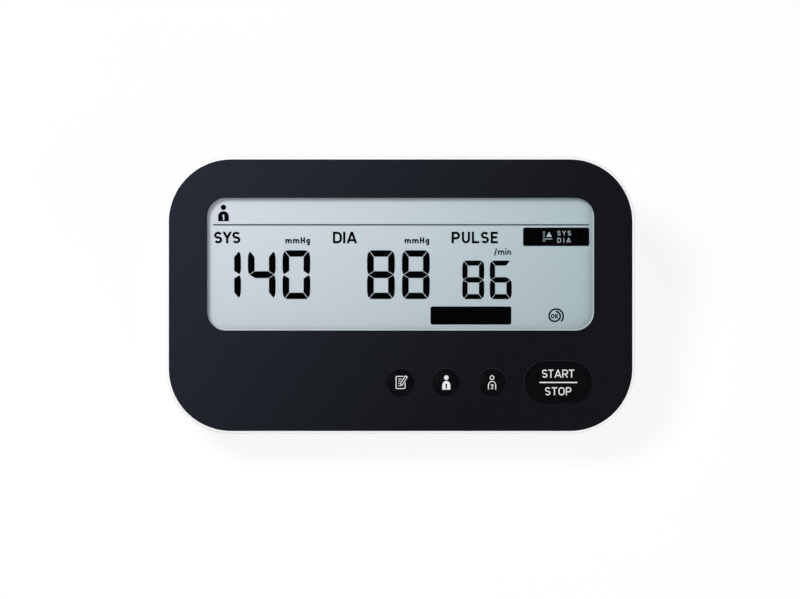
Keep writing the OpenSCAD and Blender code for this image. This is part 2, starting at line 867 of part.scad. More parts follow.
// Pressure sensor over the manifold, with its hose nozzle
sensor_v = (sensor_y - face_y) * cos(tilt) + (air_z + manifold_h / 2 - face_z) * sin(tilt);
sensor_w = -(sensor_y - face_y) * sin(tilt) + (air_z + manifold_h / 2 - face_z) * cos(tilt);
sensor_t = 4;

module pressure_sensor() {
  color([0.2, 0.2, 0.22]) on_face(sensor_u, sensor_v, board_back) difference() {
    union() {
      block([9, 9], -sensor_t, 0);
      rod(nozzle_r, -sensor_t - nozzle_l, -sensor_t);
    }
    rod(air_r, -sensor_t - nozzle_l - over, -sensor_t + 1.5);
  }
}

module buzzer() {
  color([0.1, 0.1, 0.1]) on_face(24, 30, board_back) difference() {
    rod(6, -4.5, 0);
    rod(0.9, -5, -3.5);
  }
}

module board_capacitors() {
  color([0.25, 0.3, 0.4]) for (u = [-36, -28, -20]) on_face(u, 28, board_back) rod(3.15, -7, 0);
}

// White wire headers: pump, valve, battery and power socket
header_at = [[-4, 22], [-36, 14], [34, 6], [64, 6]];
header_h = 5.5;
header_mouth = 1.3;
lead_r = 0.45;

module board_headers() {
  color([0.93, 0.92, 0.88]) for (p = header_at) on_face(p.x, p.y, board_back) difference() {
    block([6.4, 5], -header_h, 0);
    block([5, 3.6], -header_h - over, -header_h + header_mouth);
  }
}

// ---------- Air path ----------

// A hose nozzle along z, with its passage left to the piece that it stands on
module nozzle() {
  rod(nozzle_r, -over, nozzle_l);
}

// Places on the manifold where a nozzle stands, each with z pointing out
module at_jack_port() { translate([manifold_x0, jack_y, air_z]) rotate([0, -90, 0]) children(); }
module at_pump_port() { translate([manifold_x1, pump_y, air_z]) rotate([0, 90, 0]) children(); }
module at_valve_port() { translate([manifold_x1, valve_y, air_z]) rotate([0, 90, 0]) children(); }
module at_sensor_port() { on_face(sensor_u, sensor_v, sensor_w) children(); }

module manifold() {
  mid_x = (manifold_x0 + manifold_x1) / 2;
  color([0.88, 0.88, 0.86]) difference() {
    union() {
      translate([manifold_x0, manifold_y0, air_z - manifold_h / 2])
        cube([manifold_w, manifold_y1 - manifold_y0, manifold_h]);
      at_jack_port() nozzle();
      at_pump_port() nozzle();
      at_valve_port() nozzle();
      at_sensor_port() rod(nozzle_r, -3, nozzle_l + 1);
    }
    translate([mid_x, manifold_y1 - 2, air_z]) rotate([90, 0, 0])
      cylinder(r = air_r, h = manifold_y1 - manifold_y0 - 4);
    at_jack_port() rod(air_r, -manifold_w / 2, nozzle_l + over);
    at_pump_port() rod(air_r, -manifold_w / 2, nozzle_l + over);
    at_valve_port() rod(air_r, -manifold_w / 2, nozzle_l + over);
    at_sensor_port() rod(air_r, -manifold_h / 2, nozzle_l + 1 + over);
  }
}

module hose(z0, z1) {
  pipe(hose_r, nozzle_r + fit_gap, z0, z1);
}

module air_hoses() {
  reach = 2 * nozzle_l + hose_break;
  color([0.8, 0.82, 0.78, 0.8]) {
    at_jack_port() hose(0.1, reach - 0.1);
    at_pump_port() hose(0.1, reach - 0.1);
    at_valve_port() hose(0.1, reach - 0.1);
    at_sensor_port() hose(hose_r * tan(tilt) + 0.1, board_back - sensor_t - sensor_w - 0.1);
  }
}

// ---------- Pump ----------

module pump_motor_can() {
  color("silver") at_pump() difference() {
    rod(motor_r, -motor_l, 0);
    rod(motor_r - can_t, -motor_l - over, -can_t);
    rod(bush_r, -can_t - over, over);
  }
}

module pump_motor_cap() {
  color([0.15, 0.15, 0.16]) at_pump() difference() {
    union() {
      rod(motor_r, -motor_l - cap_l, -motor_l);
      rod(motor_r - can_t - fit_gap, -motor_l - over, -motor_l + 2);
    }
    rod(bush_r, -motor_l - cap_l - over, -motor_l + 2 + over);
  }
}

module pump_magnets() {
  color([0.3, 0.3, 0.31]) at_pump() for (a = [25, 205])
    rotate([0, 0, a]) translate([0, 0, -motor_l + 4]) rotate_extrude(angle = 130)
      translate([8.6, 0]) square([motor_r - can_t - 8.6 - fit_gap, motor_l - 8]);
}

module pump_bushes() {
  color([0.72, 0.5, 0.28]) at_pump() {
    pipe(bush_r, shaft_r + running_gap, -2.5, 0);
    pipe(bush_r, shaft_r + running_gap, -motor_l - cap_l, -motor_l - cap_l + 2.5);
  }
}

module pump_rotor() {
  color([0.6, 0.45, 0.35]) at_pump() {
    difference() {
      rod(7.8, -motor_l + 7, -7);
      for (a = [0, 120, 240]) rotate([0, 0, a]) translate([5.6, 0, 0])
        block([6, 2.4], -motor_l, 0);
    }
    rod(2.6, -motor_l + 2.4, -motor_l + 7);
    rod(shaft_r, -motor_l - cap_l + 0.5, crank_z0 + 2);
  }
}

// Crank on the motor's shaft, carrying the slanted pin
module pump_crank() {
  color([0.9, 0.9, 0.9]) at_pump() {
    difference() {
      rod(crank_r, crank_z0, crank_z1);
      rod(shaft_r, crank_z0 - over, crank_z0 + 2);
      at_pin() rod(crank_pin_r, -pivot_z + crank_z0 + 3, 0);
    }
    at_pin() rod(crank_pin_r, -pivot_z + crank_z0 + 3, 1.2);
  }
}

// Three-armed plate that nods round the slanted pin and works the diaphragm's cups
module wobble_plate() {
  color([0.93, 0.93, 0.9]) at_pump() at_pin() difference() {
    union() {
      rod(2.4, -3, 1.8);
      for (a = [60, 180, 300]) rotate([0, 0, a]) {
        translate([0, -1.6, -0.6]) cube([arm_r, 3.2, 1.2]);
        translate([arm_r, 0, 0]) rod(1.9, -0.6, 0.6);
      }
    }
    rod(crank_pin_r + running_gap, -3 - over, 1.3);
    for (a = [60, 180, 300]) rotate([0, 0, a]) translate([arm_r, 0, 0])
      rod(stem_r + fit_gap, -2, 2);
  }
}

module pump_screw_holes(z0, z1) {
  for (x = [-1, 1], y = [-1, 1]) translate([x * pump_screw_at, y * pump_screw_at, 0])
    rod(pump_screw_r, z0, z1);
}

module pump_case() {
  color([0.85, 0.85, 0.83]) at_pump() difference() {
    block([pump_case_w, pump_case_w], 0, pump_case_l);
    rod(10.6, 1, pump_case_l + over);
    rod(bush_r + 0.2, -over, 1 + over);
    pump_screw_holes(1.5, pump_case_l + over);
  }
}

// Rubber diaphragm: a sheet with three cups, each with a stem through an arm's hole
module pump_diaphragm() {
  cup_z = pump_case_l - cup_depth;
  color([0.2, 0.2, 0.2]) at_pump() {
    difference() {
      union() {
        block([pump_case_w, pump_case_w], pump_case_l, pump_case_l + membrane_t);
        for (a = [60, 180, 300]) rotate([0, 0, a]) translate([arm_r - 0.6, 0, 0])
          rod(cup_r, cup_z, pump_case_l + 0.2);
      }
      for (a = [60, 180, 300]) rotate([0, 0, a]) translate([arm_r - 0.6, 0, 0])
        rod(cup_r - 0.6, cup_z + 0.8, pump_case_l + membrane_t + over);
      pump_screw_holes(pump_case_l - over, pump_case_l + membrane_t + over);
    }
    at_pin() for (a = [60, 180, 300]) rotate([0, 0, a]) translate([arm_r, 0, 0])
      rod(stem_r, -0.9, cup_z - pivot_z + 0.4 + stem_reach(a));
  }
}

// How much further a stem has to run where the slant has taken its arm down
function stem_reach(a) = arm_r * sin(pin_slant) * cos(a);

module pump_valve_plate() {
  color([0.8, 0.8, 0.78]) at_pump() difference() {
    block([pump_case_w, pump_case_w], pump_case_l + membrane_t,
      pump_case_l + membrane_t + valve_plate_t);
    for (a = [60, 180, 300]) rotate([0, 0, a]) translate([arm_r - 3, 0, 0])
      rod(0.7, pump_case_l, pump_stack);
    pump_screw_holes(pump_case_l, pump_stack);
  }
}

// Rubber flap over each outlet of the valve plate
module pump_flaps() {
  z = pump_case_l + membrane_t + valve_plate_t;
  color([0.2, 0.2, 0.2]) at_pump() for (a = [60, 180, 300])
    rotate([0, 0, a]) translate([arm_r - 3, 0, 0]) rod(1.5, z, z + 0.4);
}

module pump_head() {
  z = pump_stack - head_t;
  color([0.82, 0.82, 0.8]) at_pump() difference() {
    union() {
      block([pump_case_w, pump_case_w], z, pump_stack);
      rod(nozzle_r, z, pump_stack + nozzle_l);
    }
    rod(6.5, z - over, z + 1.6);
    rod(air_r, z, pump_stack + nozzle_l + over);
    pump_screw_holes(z - over, pump_stack + over);
  }
}

module pump_screws() {
  color("silver") at_pump() for (x = [-1, 1], y = [-1, 1])
    translate([x * pump_screw_at, y * pump_screw_at, pump_stack]) rotate([180, 0, 0])
      pan_screw(pump_screw_r, pump_stack - 1.8, 1.7, 1.2);
}

module pump_grommets() {
  color([0.25, 0.25, 0.26]) at_pump() for (z = grommet_z)
    pipe(motor_r + grommet_t, motor_r, z - grommet_w / 2, z + grommet_w / 2);
}

// ---------- Exhaust valve ----------

// Bent steel strip round the coil, open on two sides
module valve_frame() {
  color([0.7, 0.7, 0.72]) at_valve() difference() {
    block([valve_w, valve_w], -valve_l, 0);
    block([valve_w - 2 * frame_t, valve_w + 2 * over], -valve_l + frame_t, -frame_t);
    rod(plunger_r + 0.2, -frame_t - over, over);
  }
}

module valve_coil() {
  color([0.72, 0.35, 0.15]) at_valve() {
    pipe(5.2, plunger_r + plunger_gap, -valve_l + frame_t + 0.3, -frame_t - 0.1);
  }
}

module valve_cap() {
  color([0.85, 0.85, 0.83]) at_valve() difference() {
    union() {
      block([valve_w, valve_w], 0, valve_cap_t);
      rod(nozzle_r, 0, valve_cap_t + nozzle_l);
    }
    difference() {
      rod(plunger_r + 0.2, -over, 1.8);
      rod(1.1, 1.2, 2);
    }
    rod(0.5, 0, valve_cap_t);
    rod(air_r, 2.2, valve_cap_t + nozzle_l + over);
    translate([0, 4, 0]) block([1, valve_w], -over, 0.8);
  }
}

module valve_plunger() {
  color("silver") at_valve() {
    rod(plunger_r, -14, -1);
    rod(1.2, -1.2, 1.2 - valve_travel - 0.1);
  }
}

module valve_spring() {
  wire = 0.15;
  color("silver") at_valve() translate([0, 0, -1 + wire + 0.05])
    sweep(coil(1.75, 1.75, 2.6 - 2 * wire, 3, 12), wire, 6);
}

// ---------- Battery ----------

// Cell i lies with its button to the back when i is even
module cell_frame(i) {
  way = i % 2 == 0 ? 1 : -1;
  y = way > 0 ? bay_y1 - contact_plate_t : bay_y0 + contact_plate_t;
  translate([bay_x0 + cell_gap / 2 + (i + 0.5) * cell_pitch, y, cell_z])
    rotate([90 * way, 0, 0]) children();
}

module battery_cells() {
  color([0.35, 0.45, 0.3]) for (i = [0:cell_count - 1]) cell_frame(i) {
    rod(cell_button_r, 0, cell_button_l + 0.2);
    rod(cell_d / 2, cell_button_l, cell_l);
  }
}

module battery_springs() {
  wire = 0.4;
  color("silver") for (i = [0:cell_count - 1]) cell_frame(i)
    translate([0, 0, cell_l + wire + 0.05])
      sweep(coil(2.6, 4.6, spring_l - 2 * wire - 0.1, 3, 12), wire, 6);
}

// Contact plates, joined in pairs so that the cells are in series
module battery_plates() {
  plate_h = 10;
  plate_z = floor_z + 3.2;
  function mid(i) = bay_x0 + cell_gap / 2 + (i + 0.5) * cell_pitch;
  module strip(i, j, y) {
    translate([mid(i) - 5.5, y, plate_z])
      cube([mid(j) - mid(i) + 11, contact_plate_t, plate_h]);
  }
  color("silver") {
    strip(0, 1, bay_y1 - contact_plate_t);
    strip(2, 3, bay_y1 - contact_plate_t);
    strip(0, 0, bay_y0);
    strip(1, 2, bay_y0);
    strip(3, 3, bay_y0);
  }
}

// ---------- Wiring ----------

// A point on the board's back under header i
function below_header(i, du, drop) =
  let (w = board_back - header_h - drop, v = header_at[i].y)
    [header_at[i].x + du, face_y + v * cos(tilt) - w * sin(tilt),
     face_z + v * sin(tilt) + w * cos(tilt)];

// One lead from a place in the case up into a header
module lead(from, leave, i, du) {
  up = below_header(i, du, 0.1 - header_mouth);
  low = below_header(i, du, 6);
  sweep(curve([from, from + leave, low, up], 14), lead_r, 8);
}

module wiring() {
  motor_end = pump_x + motor_l + cap_l;
  for (s = [-1, 1]) {
    tone = s < 0 ? [0.75, 0.1, 0.1] : [0.1, 0.1, 0.1];
    color(tone) {
      lead([motor_end - cap_l / 2 + s * 0.6, pump_y, air_z + motor_r + 0.1], [0, 0, 5], 0, s);
      lead([valve_x + valve_l / 2 + s, valve_y, air_z + valve_w / 2 + 0.1], [0, 0, 6], 1, s);
      lead([bay_x0 + bay_w / 2 + s * 22, bay_y0 + 3, bay_top + bay_wall + lead_r + 0.05],
        [-s * 10, 0, 0], 2, s);
      lead([side_in - dc_l + 4, dc_y + s * 2, dc_z + 5.6], [0, 0, 6], 3, s);
    }
  }
}

// ---------- Nodes ----------

front_panel();
display_lens();
upper_shell();
lower_shell();
battery_cover();
cover_latch();
feet();
case_screws();
air_jack();
air_jack_ring();
dc_jack();
dc_jack_pin();
display_gasket();
lcd_glass();
lcd_reflector();
lcd_holder();
lcd_contact_strip();
button_memory();
button_user_1();
button_user_2();
button_start_stop();
key_mat();
pill_memory();
pill_user_1();
pill_user_2();
pill_start_stop();
main_board();
board_screws();
key_contacts();
microcontroller();
radio_module();
pressure_sensor();
buzzer();
board_capacitors();
board_headers();
manifold();
air_hoses();
pump_motor_can();
pump_motor_cap();
pump_magnets();
pump_bushes();
pump_rotor();
pump_crank();
wobble_plate();
pump_case();
pump_diaphragm();
pump_valve_plate();
pump_flaps();
pump_head();
pump_screws();
pump_grommets();
valve_frame();
valve_coil();
valve_cap();
valve_plunger();
valve_spring();
battery_cells();
battery_springs();
battery_plates();
wiring();
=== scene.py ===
"""Looks of a desk-top upper arm blood pressure monitor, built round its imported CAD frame.

What is drawn on the face is drawn in millimetres: u across the face, v up its slope and
w out of it, from the middle of the dark front panel's surface.
"""

import functools
import json
import math

import bpy
from mathutils import Matrix, Vector, geometry
from mathutils.bvhtree import BVHTree


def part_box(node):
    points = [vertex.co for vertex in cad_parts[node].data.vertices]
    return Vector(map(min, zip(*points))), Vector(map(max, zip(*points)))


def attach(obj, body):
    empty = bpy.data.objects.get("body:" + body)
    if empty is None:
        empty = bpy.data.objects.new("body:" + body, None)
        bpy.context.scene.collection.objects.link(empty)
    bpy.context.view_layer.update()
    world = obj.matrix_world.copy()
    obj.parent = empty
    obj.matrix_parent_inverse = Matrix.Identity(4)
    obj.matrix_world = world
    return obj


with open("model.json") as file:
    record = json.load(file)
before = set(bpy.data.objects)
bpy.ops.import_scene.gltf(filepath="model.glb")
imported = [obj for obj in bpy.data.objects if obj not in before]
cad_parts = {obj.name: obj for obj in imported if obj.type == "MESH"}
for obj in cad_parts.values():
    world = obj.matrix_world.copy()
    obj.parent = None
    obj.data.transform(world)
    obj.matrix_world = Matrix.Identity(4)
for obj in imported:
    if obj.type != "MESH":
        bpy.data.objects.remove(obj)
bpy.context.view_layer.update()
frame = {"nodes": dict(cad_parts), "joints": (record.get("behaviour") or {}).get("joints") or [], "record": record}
NODES = frame["nodes"]
MM = 0.001
MICRON = 0.000001


# ---------- Places on the tilted face ----------


def face_matrix():
    """Takes face coordinates in metres to the frame, from the keys' slide and the panel's box."""
    slide = next(j for j in frame["joints"] if j["name"] == "press_start_stop")
    out = -Vector(slide["axis"]).normalized()
    across = Vector((1, 0, 0))
    up = out.cross(across)
    low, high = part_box("front_panel")
    size = high - low
    # a tilted plate's box is as high and as deep as its length and thickness make it together
    thickness = (size.z * out.z - size.y * up.z) / (out.z**2 - up.z**2)
    middle = (low + high) / 2 + out * thickness / 2
    return Matrix.Translation(middle) @ Matrix((across, up, out)).transposed().to_4x4()


FACE = face_matrix()
OUT = FACE.to_3x3() @ Vector((0, 0, 1))


def on_face(u, v, w=0.0):
    return FACE @ (Vector((u, v, w)) * MM)


def face_place(node):
    """Where the middle of a node lies on the face, in millimetres."""
    low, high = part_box(node)
    place = FACE.inverted() @ ((low + high) / 2)
    return place.x / MM, place.y / MM


def node_surface(node):
    """A function that drops a point of the face onto the node's own surface."""
    mesh = NODES[node].data
    tree = BVHTree.FromPolygons([v.co for v in mesh.vertices], [p.vertices for p in mesh.polygons])
    high_above = 8.0

    def drop(u, v):
        hit = tree.ray_cast(on_face(u, v, high_above), -OUT)[0]
        if hit is None:
            raise ValueError(f"nothing of {node} under {u:.1f}, {v:.1f}")
        return hit

    return drop


# ---------- Flat outlines, in millimetres ----------

ARC_STEP = 9.0


def arc(x, y, rx, ry, start, end):
    """Points along an elliptical arc, from one angle to another in degrees."""
    count = max(2, math.ceil(abs(end - start) / ARC_STEP) + 1)
    angles = [math.radians(start + (end - start) * i / (count - 1)) for i in range(count)]
    return [(x + rx * math.cos(a), y + ry * math.sin(a)) for a in angles]


def disc(x, y, r):
    return arc(x, y, r, r, 0, 360 - ARC_STEP)


def rectangle(x0, y0, x1, y1, r=0.0):
    """A rectangle between two corners, with rounded corners when r is given."""
    if not r:
        return [(x0, y0), (x1, y0), (x1, y1), (x0, y1)]
    corners = [(x1 - r, y0 + r, -90), (x1 - r, y1 - r, 0), (x0 + r, y1 - r, 90), (x0 + r, y0 + r, 180)]
    return [p for x, y, a in corners for p in arc(x, y, r, r, a, a + 90)]


def moved(polygons, x, y, size=1.0):
    return [[(x + size * px, y + size * py) for px, py in polygon] for polygon in polygons]


def ribbon(points, weight, closed=False):
    """A line of even weight along the points, as mitred quads with square ends."""
    count = len(points)
    spans = count if closed else count - 1
    normals = []
    for i in range(spans):
        (ax, ay), (bx, by) = points[i], points[(i + 1) % count]
        length = math.hypot(bx - ax, by - ay)
        normals.append(((ay - by) / length, (bx - ax) / length))
    sides = []
    sharpest = 0.6  # cosine of half the sharpest turn whose mitre is left whole
    for i, (x, y) in enumerate(points):
        before = normals[i - 1] if closed or i > 0 else normals[0]
        after = normals[i % spans] if closed or i < spans else normals[-1]
        mx, my = before[0] + after[0], before[1] + after[1]
        scale = weight / max(mx * mx + my * my, (2 * sharpest) ** 2)
        sides.append(((x + mx * scale, y + my * scale), (x - mx * scale, y - my * scale)))
    quads = []
    for i in range(spans):
        (a, b), (d, c) = sides[i], sides[(i + 1) % count]
        quads.append([b, c, d, a])
    return quads


# ---------- Lettering of one weight, with capitals one unit high ----------

X_HEIGHT = 0.72


class Pen:
    """Collects the strokes of a letter. half is half the stroke's weight."""

    def __init__(self, weight):
        self.weight = weight
        self.half = weight / 2
        self.strokes = []

    def line(self, points, closed=False):
        self.strokes += ribbon(points, self.weight, closed)

    def slant(self, x0, y0, x1, y1):
        """A sloping stroke whose ends are cut level."""
        reach = self.lean(x1 - x0, y1 - y0)
        self.strokes.append([(x0 - reach, y0), (x0 + reach, y0), (x1 + reach, y1), (x1 - reach, y1)])

    def lean(self, dx, dy):
        return self.half * math.hypot(dx, dy) / abs(dy)


def draw_a(p, w):
    foot, bar = p.lean(w / 2, 1), 0.27
    p.slant(foot, 0, w / 2, 1)
    p.slant(w - foot, 0, w / 2, 1)
    p.line([(w * 0.2, bar), (w * 0.8, bar)])


def draw_d(p, w):
    h, r = p.half, 0.3
    bend = arc(w - h - r, h + r, r, r, -90, 0) + arc(w - h - r, 1 - h - r, r, r, 0, 90)
    p.line([(h, h)] + bend + [(h, 1 - h)], closed=True)


def draw_e(p, w):
    h, waist = p.half, 0.52
    p.line([(w, 1 - h), (h, 1 - h), (h, h), (w, h)])
    p.line([(h, waist), (w * 0.9, waist)])


def draw_g(p, w):
    """Lower case g: an oval bowl and a hooked tail."""
    draw_o(p, w, X_HEIGHT)
    tail, depth = -0.06, 0.16
    p.line([(w - p.half, X_HEIGHT)] + arc(w / 2, tail, w / 2 - p.half, depth, 0, -140))


def draw_h(p, w):
    h = p.half
    for x in (h, w - h):
        p.line([(x, 0), (x, 1)])
    p.line([(h, 0.5), (w - h, 0.5)])


def draw_i(p, w):
    p.line([(p.half, 0), (p.half, 1)])


def draw_small_i(p, w):
    dot = 0.9
    p.line([(p.half, 0), (p.half, X_HEIGHT)])
    p.line([(p.half, dot), (p.half, dot + p.weight)])


def draw_k(p, w):
    tip = w - p.weight * 0.7
    p.line([(p.half, 0), (p.half, 1)])
    p.slant(p.weight, 0.36, tip, 1)
    p.slant(tip, 0, w * 0.42, 0.58)


def draw_l(p, w):
    p.line([(p.half, 1), (p.half, p.half), (w, p.half)])


def draw_arches(p, w, count):
    """The stem and arches of a lower case n or m."""
    h, overlap = p.half, 0.05
    span = (w - p.weight) / count
    r = span / 2
    spring = X_HEIGHT - h - r
    p.line([(h, 0), (h, X_HEIGHT)])
    for i in range(count):
        x = h + span * i
        p.line([(x, spring - overlap)] + arc(x + r, spring, r, r, 180, 0) + [(x + span, 0)])


def draw_m(p, w):
    draw_arches(p, w, 2)


def draw_n(p, w):
    draw_arches(p, w, 1)


def draw_o(p, w, top=1.0):
    h, r = p.half, w / 2 - p.half
    p.line(arc(w / 2, top - h - r, r, r, 0, 180) + arc(w / 2, h + r, r, r, 180, 360), closed=True)


def draw_p(p, w):
    h, waist = p.half, 0.44
    r = (1 - h - waist) / 2
    p.line([(h, 0), (h, 1 - h)] + arc(w - h - r, 1 - h - r, r, r, 90, -90) + [(h, waist)])


def draw_r(p, w):
    draw_p(p, w)
    p.slant(w - p.half * 1.15, 0, w * 0.5, 0.46)


def draw_s(p, w):
    rx, ry = w / 2 - p.half, (0.5 - p.half) / 2
    p.line(arc(w / 2, 0.5 + ry, rx, ry, 28, 270) + arc(w / 2, 0.5 - ry, rx, ry, 90, -152)[1:])


def draw_t(p, w):
    p.line([(0, 1 - p.half), (w, 1 - p.half)])
    p.line([(w / 2, 0), (w / 2, 1 - p.half)])


def draw_u(p, w):
    h, r = p.half, w / 2 - p.half
    p.line([(h, 1)] + arc(w / 2, h + r, r, r, 180, 360) + [(w - h, 1)])


def draw_y(p, w):
    fork, overlap = 0.44, 0.04
    arm = p.lean(w / 2, 1 - fork)
    p.line([(w / 2, 0), (w / 2, fork + overlap)])
    for x in (arm, w - arm):
        p.slant(w / 2, fork, x, 1)


def draw_slash(p, w):
    """A slash that reaches a little past the capitals at both ends."""
    p.slant(p.half, -0.12, w - p.half, 1.06)


def draw_one(p, w):
    p.line([(w - p.half, 0), (w - p.half, 1)])
    p.line([(p.half * 0.6, 0.68), (w - p.half, 1 - p.half * 1.2)])


def draw_two(p, w):
    h, r = p.half, w / 2 - p.half
    p.line(arc(w / 2, 1 - h - r, r, r, 172, -32) + [(h * 1.3, h), (w, h)])


LETTERS = {  # width over height, and the drawing function
    "A": (0.92, draw_a), "D": (0.78, draw_d), "E": (0.62, draw_e), "H": (0.76, draw_h),
    "I": (0.0, draw_i), "K": (0.80, draw_k), "L": (0.64, draw_l), "O": (0.80, draw_o),
    "P": (0.73, draw_p), "R": (0.76, draw_r), "S": (0.70, draw_s), "T": (0.72, draw_t),
    "U": (0.71, draw_u), "Y": (0.84, draw_y), "g": (0.66, draw_g), "i": (0.0, draw_small_i),
    "m": (1.12, draw_m), "n": (0.66, draw_n), "/": (0.55, draw_slash), "1": (0.42, draw_one),
    "2": (0.60, draw_two),
}


def text(letters, x, y, cap, weight, width=None, condense=1.0):
    """Letters from x along the baseline y, spaced out to fill the width. A single one needs none."""
    bold = weight / cap
    widths = [max(LETTERS[c][0] * condense, bold) for c in letters]
    gap = (width / cap - sum(widths)) / (len(letters) - 1) if width else 0.0
    polygons = []
    for c, w in zip(letters, widths):
        pen = Pen(bold)
        LETTERS[c][1](pen, w)
        polygons += moved(pen.strokes, x, y, cap)
        x += (w + gap) * cap
    return polygons


# ---------- Digits and signs ----------

DIGIT_W, DIGIT_H, DIGIT_BAR = 10.5, 18.43, 2.55
DIGIT_MID = DIGIT_H / 2
SEGMENTS = {"0": "abcdef", "1": "bc", "4": "bcfg", "6": "acdefg", "8": "abcdefg"}


def segment_upright():
    """The upper left bar of a digit: slanted ends, the outer side drawn in towards both."""
    inner = [(0.88, DIGIT_H - 0.52), (DIGIT_BAR, DIGIT_H - 2.56), (DIGIT_BAR, DIGIT_MID + 1.42)]
    foot = [(0.62, DIGIT_MID + 0.2), (0.42, DIGIT_MID + 0.32), (0.18, DIGIT_MID + 0.95)]
    side = [(0.04, DIGIT_MID + 1.7), (0, DIGIT_MID + 2.5), (0, DIGIT_H - 3.4), (0.08, DIGIT_H - 2.3)]
    return inner + foot + side + [(0.27, DIGIT_H - 1.35), (0.6, DIGIT_H - 0.68)]


def segment_level():
    """The top bar of a digit, a little thicker in the middle."""
    left = [(1.0, DIGIT_H - 0.33), (1.3, DIGIT_H - 0.13), (2.1, DIGIT_H)]
    right = [(DIGIT_W - x, y) for x, y in reversed(left)]
    inset, low = 2.75, DIGIT_H - 2.42
    return left + right + [(DIGIT_W - inset, low), (inset, low)]


def segment_middle():
    tip, shoulder, half = 0.66, 2.72, 1.3
    low, high = DIGIT_MID - half, DIGIT_MID + half
    right = [(DIGIT_W - shoulder, low), (DIGIT_W - tip, DIGIT_MID), (DIGIT_W - shoulder, high)]
    return right + [(shoulder, high), (tip, DIGIT_MID), (shoulder, low)]


def digit(figure, x, y, height):
    """One seven-bar figure with its cell's lower left corner at x, y."""
    def flip(polygon, across, over):
        return [(DIGIT_W - px if across else px, DIGIT_H - py if over else py) for px, py in polygon]

    upright, level = segment_upright(), segment_level()
    bars = {
        "a": level, "d": flip(level, False, True), "g": segment_middle(),
        "f": upright, "b": flip(upright, True, False),
        "e": flip(upright, False, True), "c": flip(upright, True, True),
    }
    return moved([bars[s] for s in SEGMENTS[figure]], x, y, height / DIGIT_H)


def number(figures, x, y, height, pitch):
    return [p for i, figure in enumerate(figures) for p in digit(figure, x + i * pitch, y, height)]


PERSON_W, PERSON_H = 4.0, 6.15
PERSON_HEAD = (0, 5.13, 1.0)  # middle and radius
PERSON_FIGURE_CAP = 2.0
KEY_PERSON_W = 3.5


def person_body(width, inset=0.0):
    """The arched body of a person sign, one unit a millimetre, standing on y = 0."""
    half, side, top = width / 2 - inset, 1.75, 3.75 - inset
    return [(-half, 0), (half, 0)] + arc(0, side, half, top - side, 0, 180)


def person_filled(x, y, size, weight, width=PERSON_W):
    """A filled person, and the figure 1 that is left clear in the body."""
    x0, y0, r = PERSON_HEAD
    body = moved([disc(x0, y0, r), person_body(width)], x, y, size)
    figure = moved(text("1", -0.55, 0.45, PERSON_FIGURE_CAP, weight / size), x, y, size)
    return body, figure


def person_outlined(x, y, size, weight):
    """A person drawn in outline with the figure 2 in the open body."""
    x0, y0, r = PERSON_HEAD
    line = weight / size
    inset = line / 2
    head = ribbon(disc(x0, y0, r - inset), line, closed=True)
    arch = ribbon(person_body(KEY_PERSON_W, inset)[1:] + [(inset - KEY_PERSON_W / 2, 0)], line)
    figure = text("2", -0.6, 0.3, PERSON_FIGURE_CAP, line)
    return moved(head + arch + figure, x, y, size)


def notepad(weight):
    """Layers of a ruled notepad with a pencil lying across its corner."""
    w, h, corner = 3.75, 4.9, 0.32
    half = weight / 2
    pad = ribbon(rectangle(half, half, w - half, h - half, corner), weight, closed=True)
    left, row_half = 0.95, 0.13
    rows = [rectangle(left, row - row_half, end, row + row_half)
            for row, end in ((1.2, 1.5), (2.03, 1.8), (2.86, 2.2), (3.69, 2.5))]
    tip, tail = (1.8, 1.05), (4.1, 4.85)
    length = math.hypot(tail[0] - tip[0], tail[1] - tip[1])
    ax, ay = (tail[0] - tip[0]) / length, (tail[1] - tip[1]) / length

    def bar(start, end, painted_reflection, point=0.0):
        """A bar along the pencil, with a point of the given length at its lower end."""
        outline = [(start - point, 0), (start, -painted_reflection), (end, -painted_reflection), (end, painted_reflection), (start, painted_reflection)]
        return [(tip[0] + ax * d - ay * s, tip[1] + ay * d + ax * s) for d, s in outline]

    clear, outline = bar(0.75, length + 0.3, 0.86, 1.0), bar(0.75, length, 0.58, 0.75)
    lead = bar(0.8, length - 0.4, 0.28, 0.25)
    layers = [(True, pad + rows), (False, [clear]), (True, [outline]), (False, [lead])]
    return [(paint, moved(polygons, -w / 2, -h / 2)) for paint, polygons in layers]


# ---------- Printed pieces ----------


def painted(layers, grid=None):
    """Corners and triangles of what the layers leave painted. Each layer paints or clears."""
    points, loops, paints = [], [], []
    for paint, polygons in layers:
        for polygon in polygons:
            turns = sum(a[0] * b[1] - b[0] * a[1] for a, b in zip(polygon, polygon[1:] + polygon[:1]))
            loops.append(range(len(points), len(points) + len(polygon)))
            points += polygon if turns > 0 else polygon[::-1]
            paints.append(paint)
    if grid:
        lows = [min(p[k] for p in points) for k in (0, 1)]
        highs = [max(p[k] for p in points) for k in (0, 1)]
        steps = [int((highs[k] - lows[k]) / grid) + 1 for k in (0, 1)]
        points += [(lows[0] + i * grid, lows[1] + j * grid)
                   for i in range(steps[0]) for j in range(steps[1])]
    closest = 1e-4
    corners, _, faces, _, _, origins = geometry.delaunay_2d_cdt(
        [Vector(p) for p in points], [], [list(loop) for loop in loops], 1, closest)
    kept = [face for face, over in zip(faces, origins) if over and paints[max(over)]]
    used = sorted({i for face in kept for i in face})
    place = {i: k for k, i in enumerate(used)}
    return [corners[i] for i in used], [[place[i] for i in face] for face in kept]


def new_object(name, data):
    thing = bpy.data.objects.new(name, data)
    bpy.context.scene.collection.objects.link(thing)
    return thing


def new_piece(name, points, faces, ink, body):
    mesh = bpy.data.meshes.new(name)
    mesh.from_pydata(points, [], faces)
    mesh.validate()
    mesh.materials.append(ink.material)
    piece = new_object(name, mesh)
    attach(piece, body)


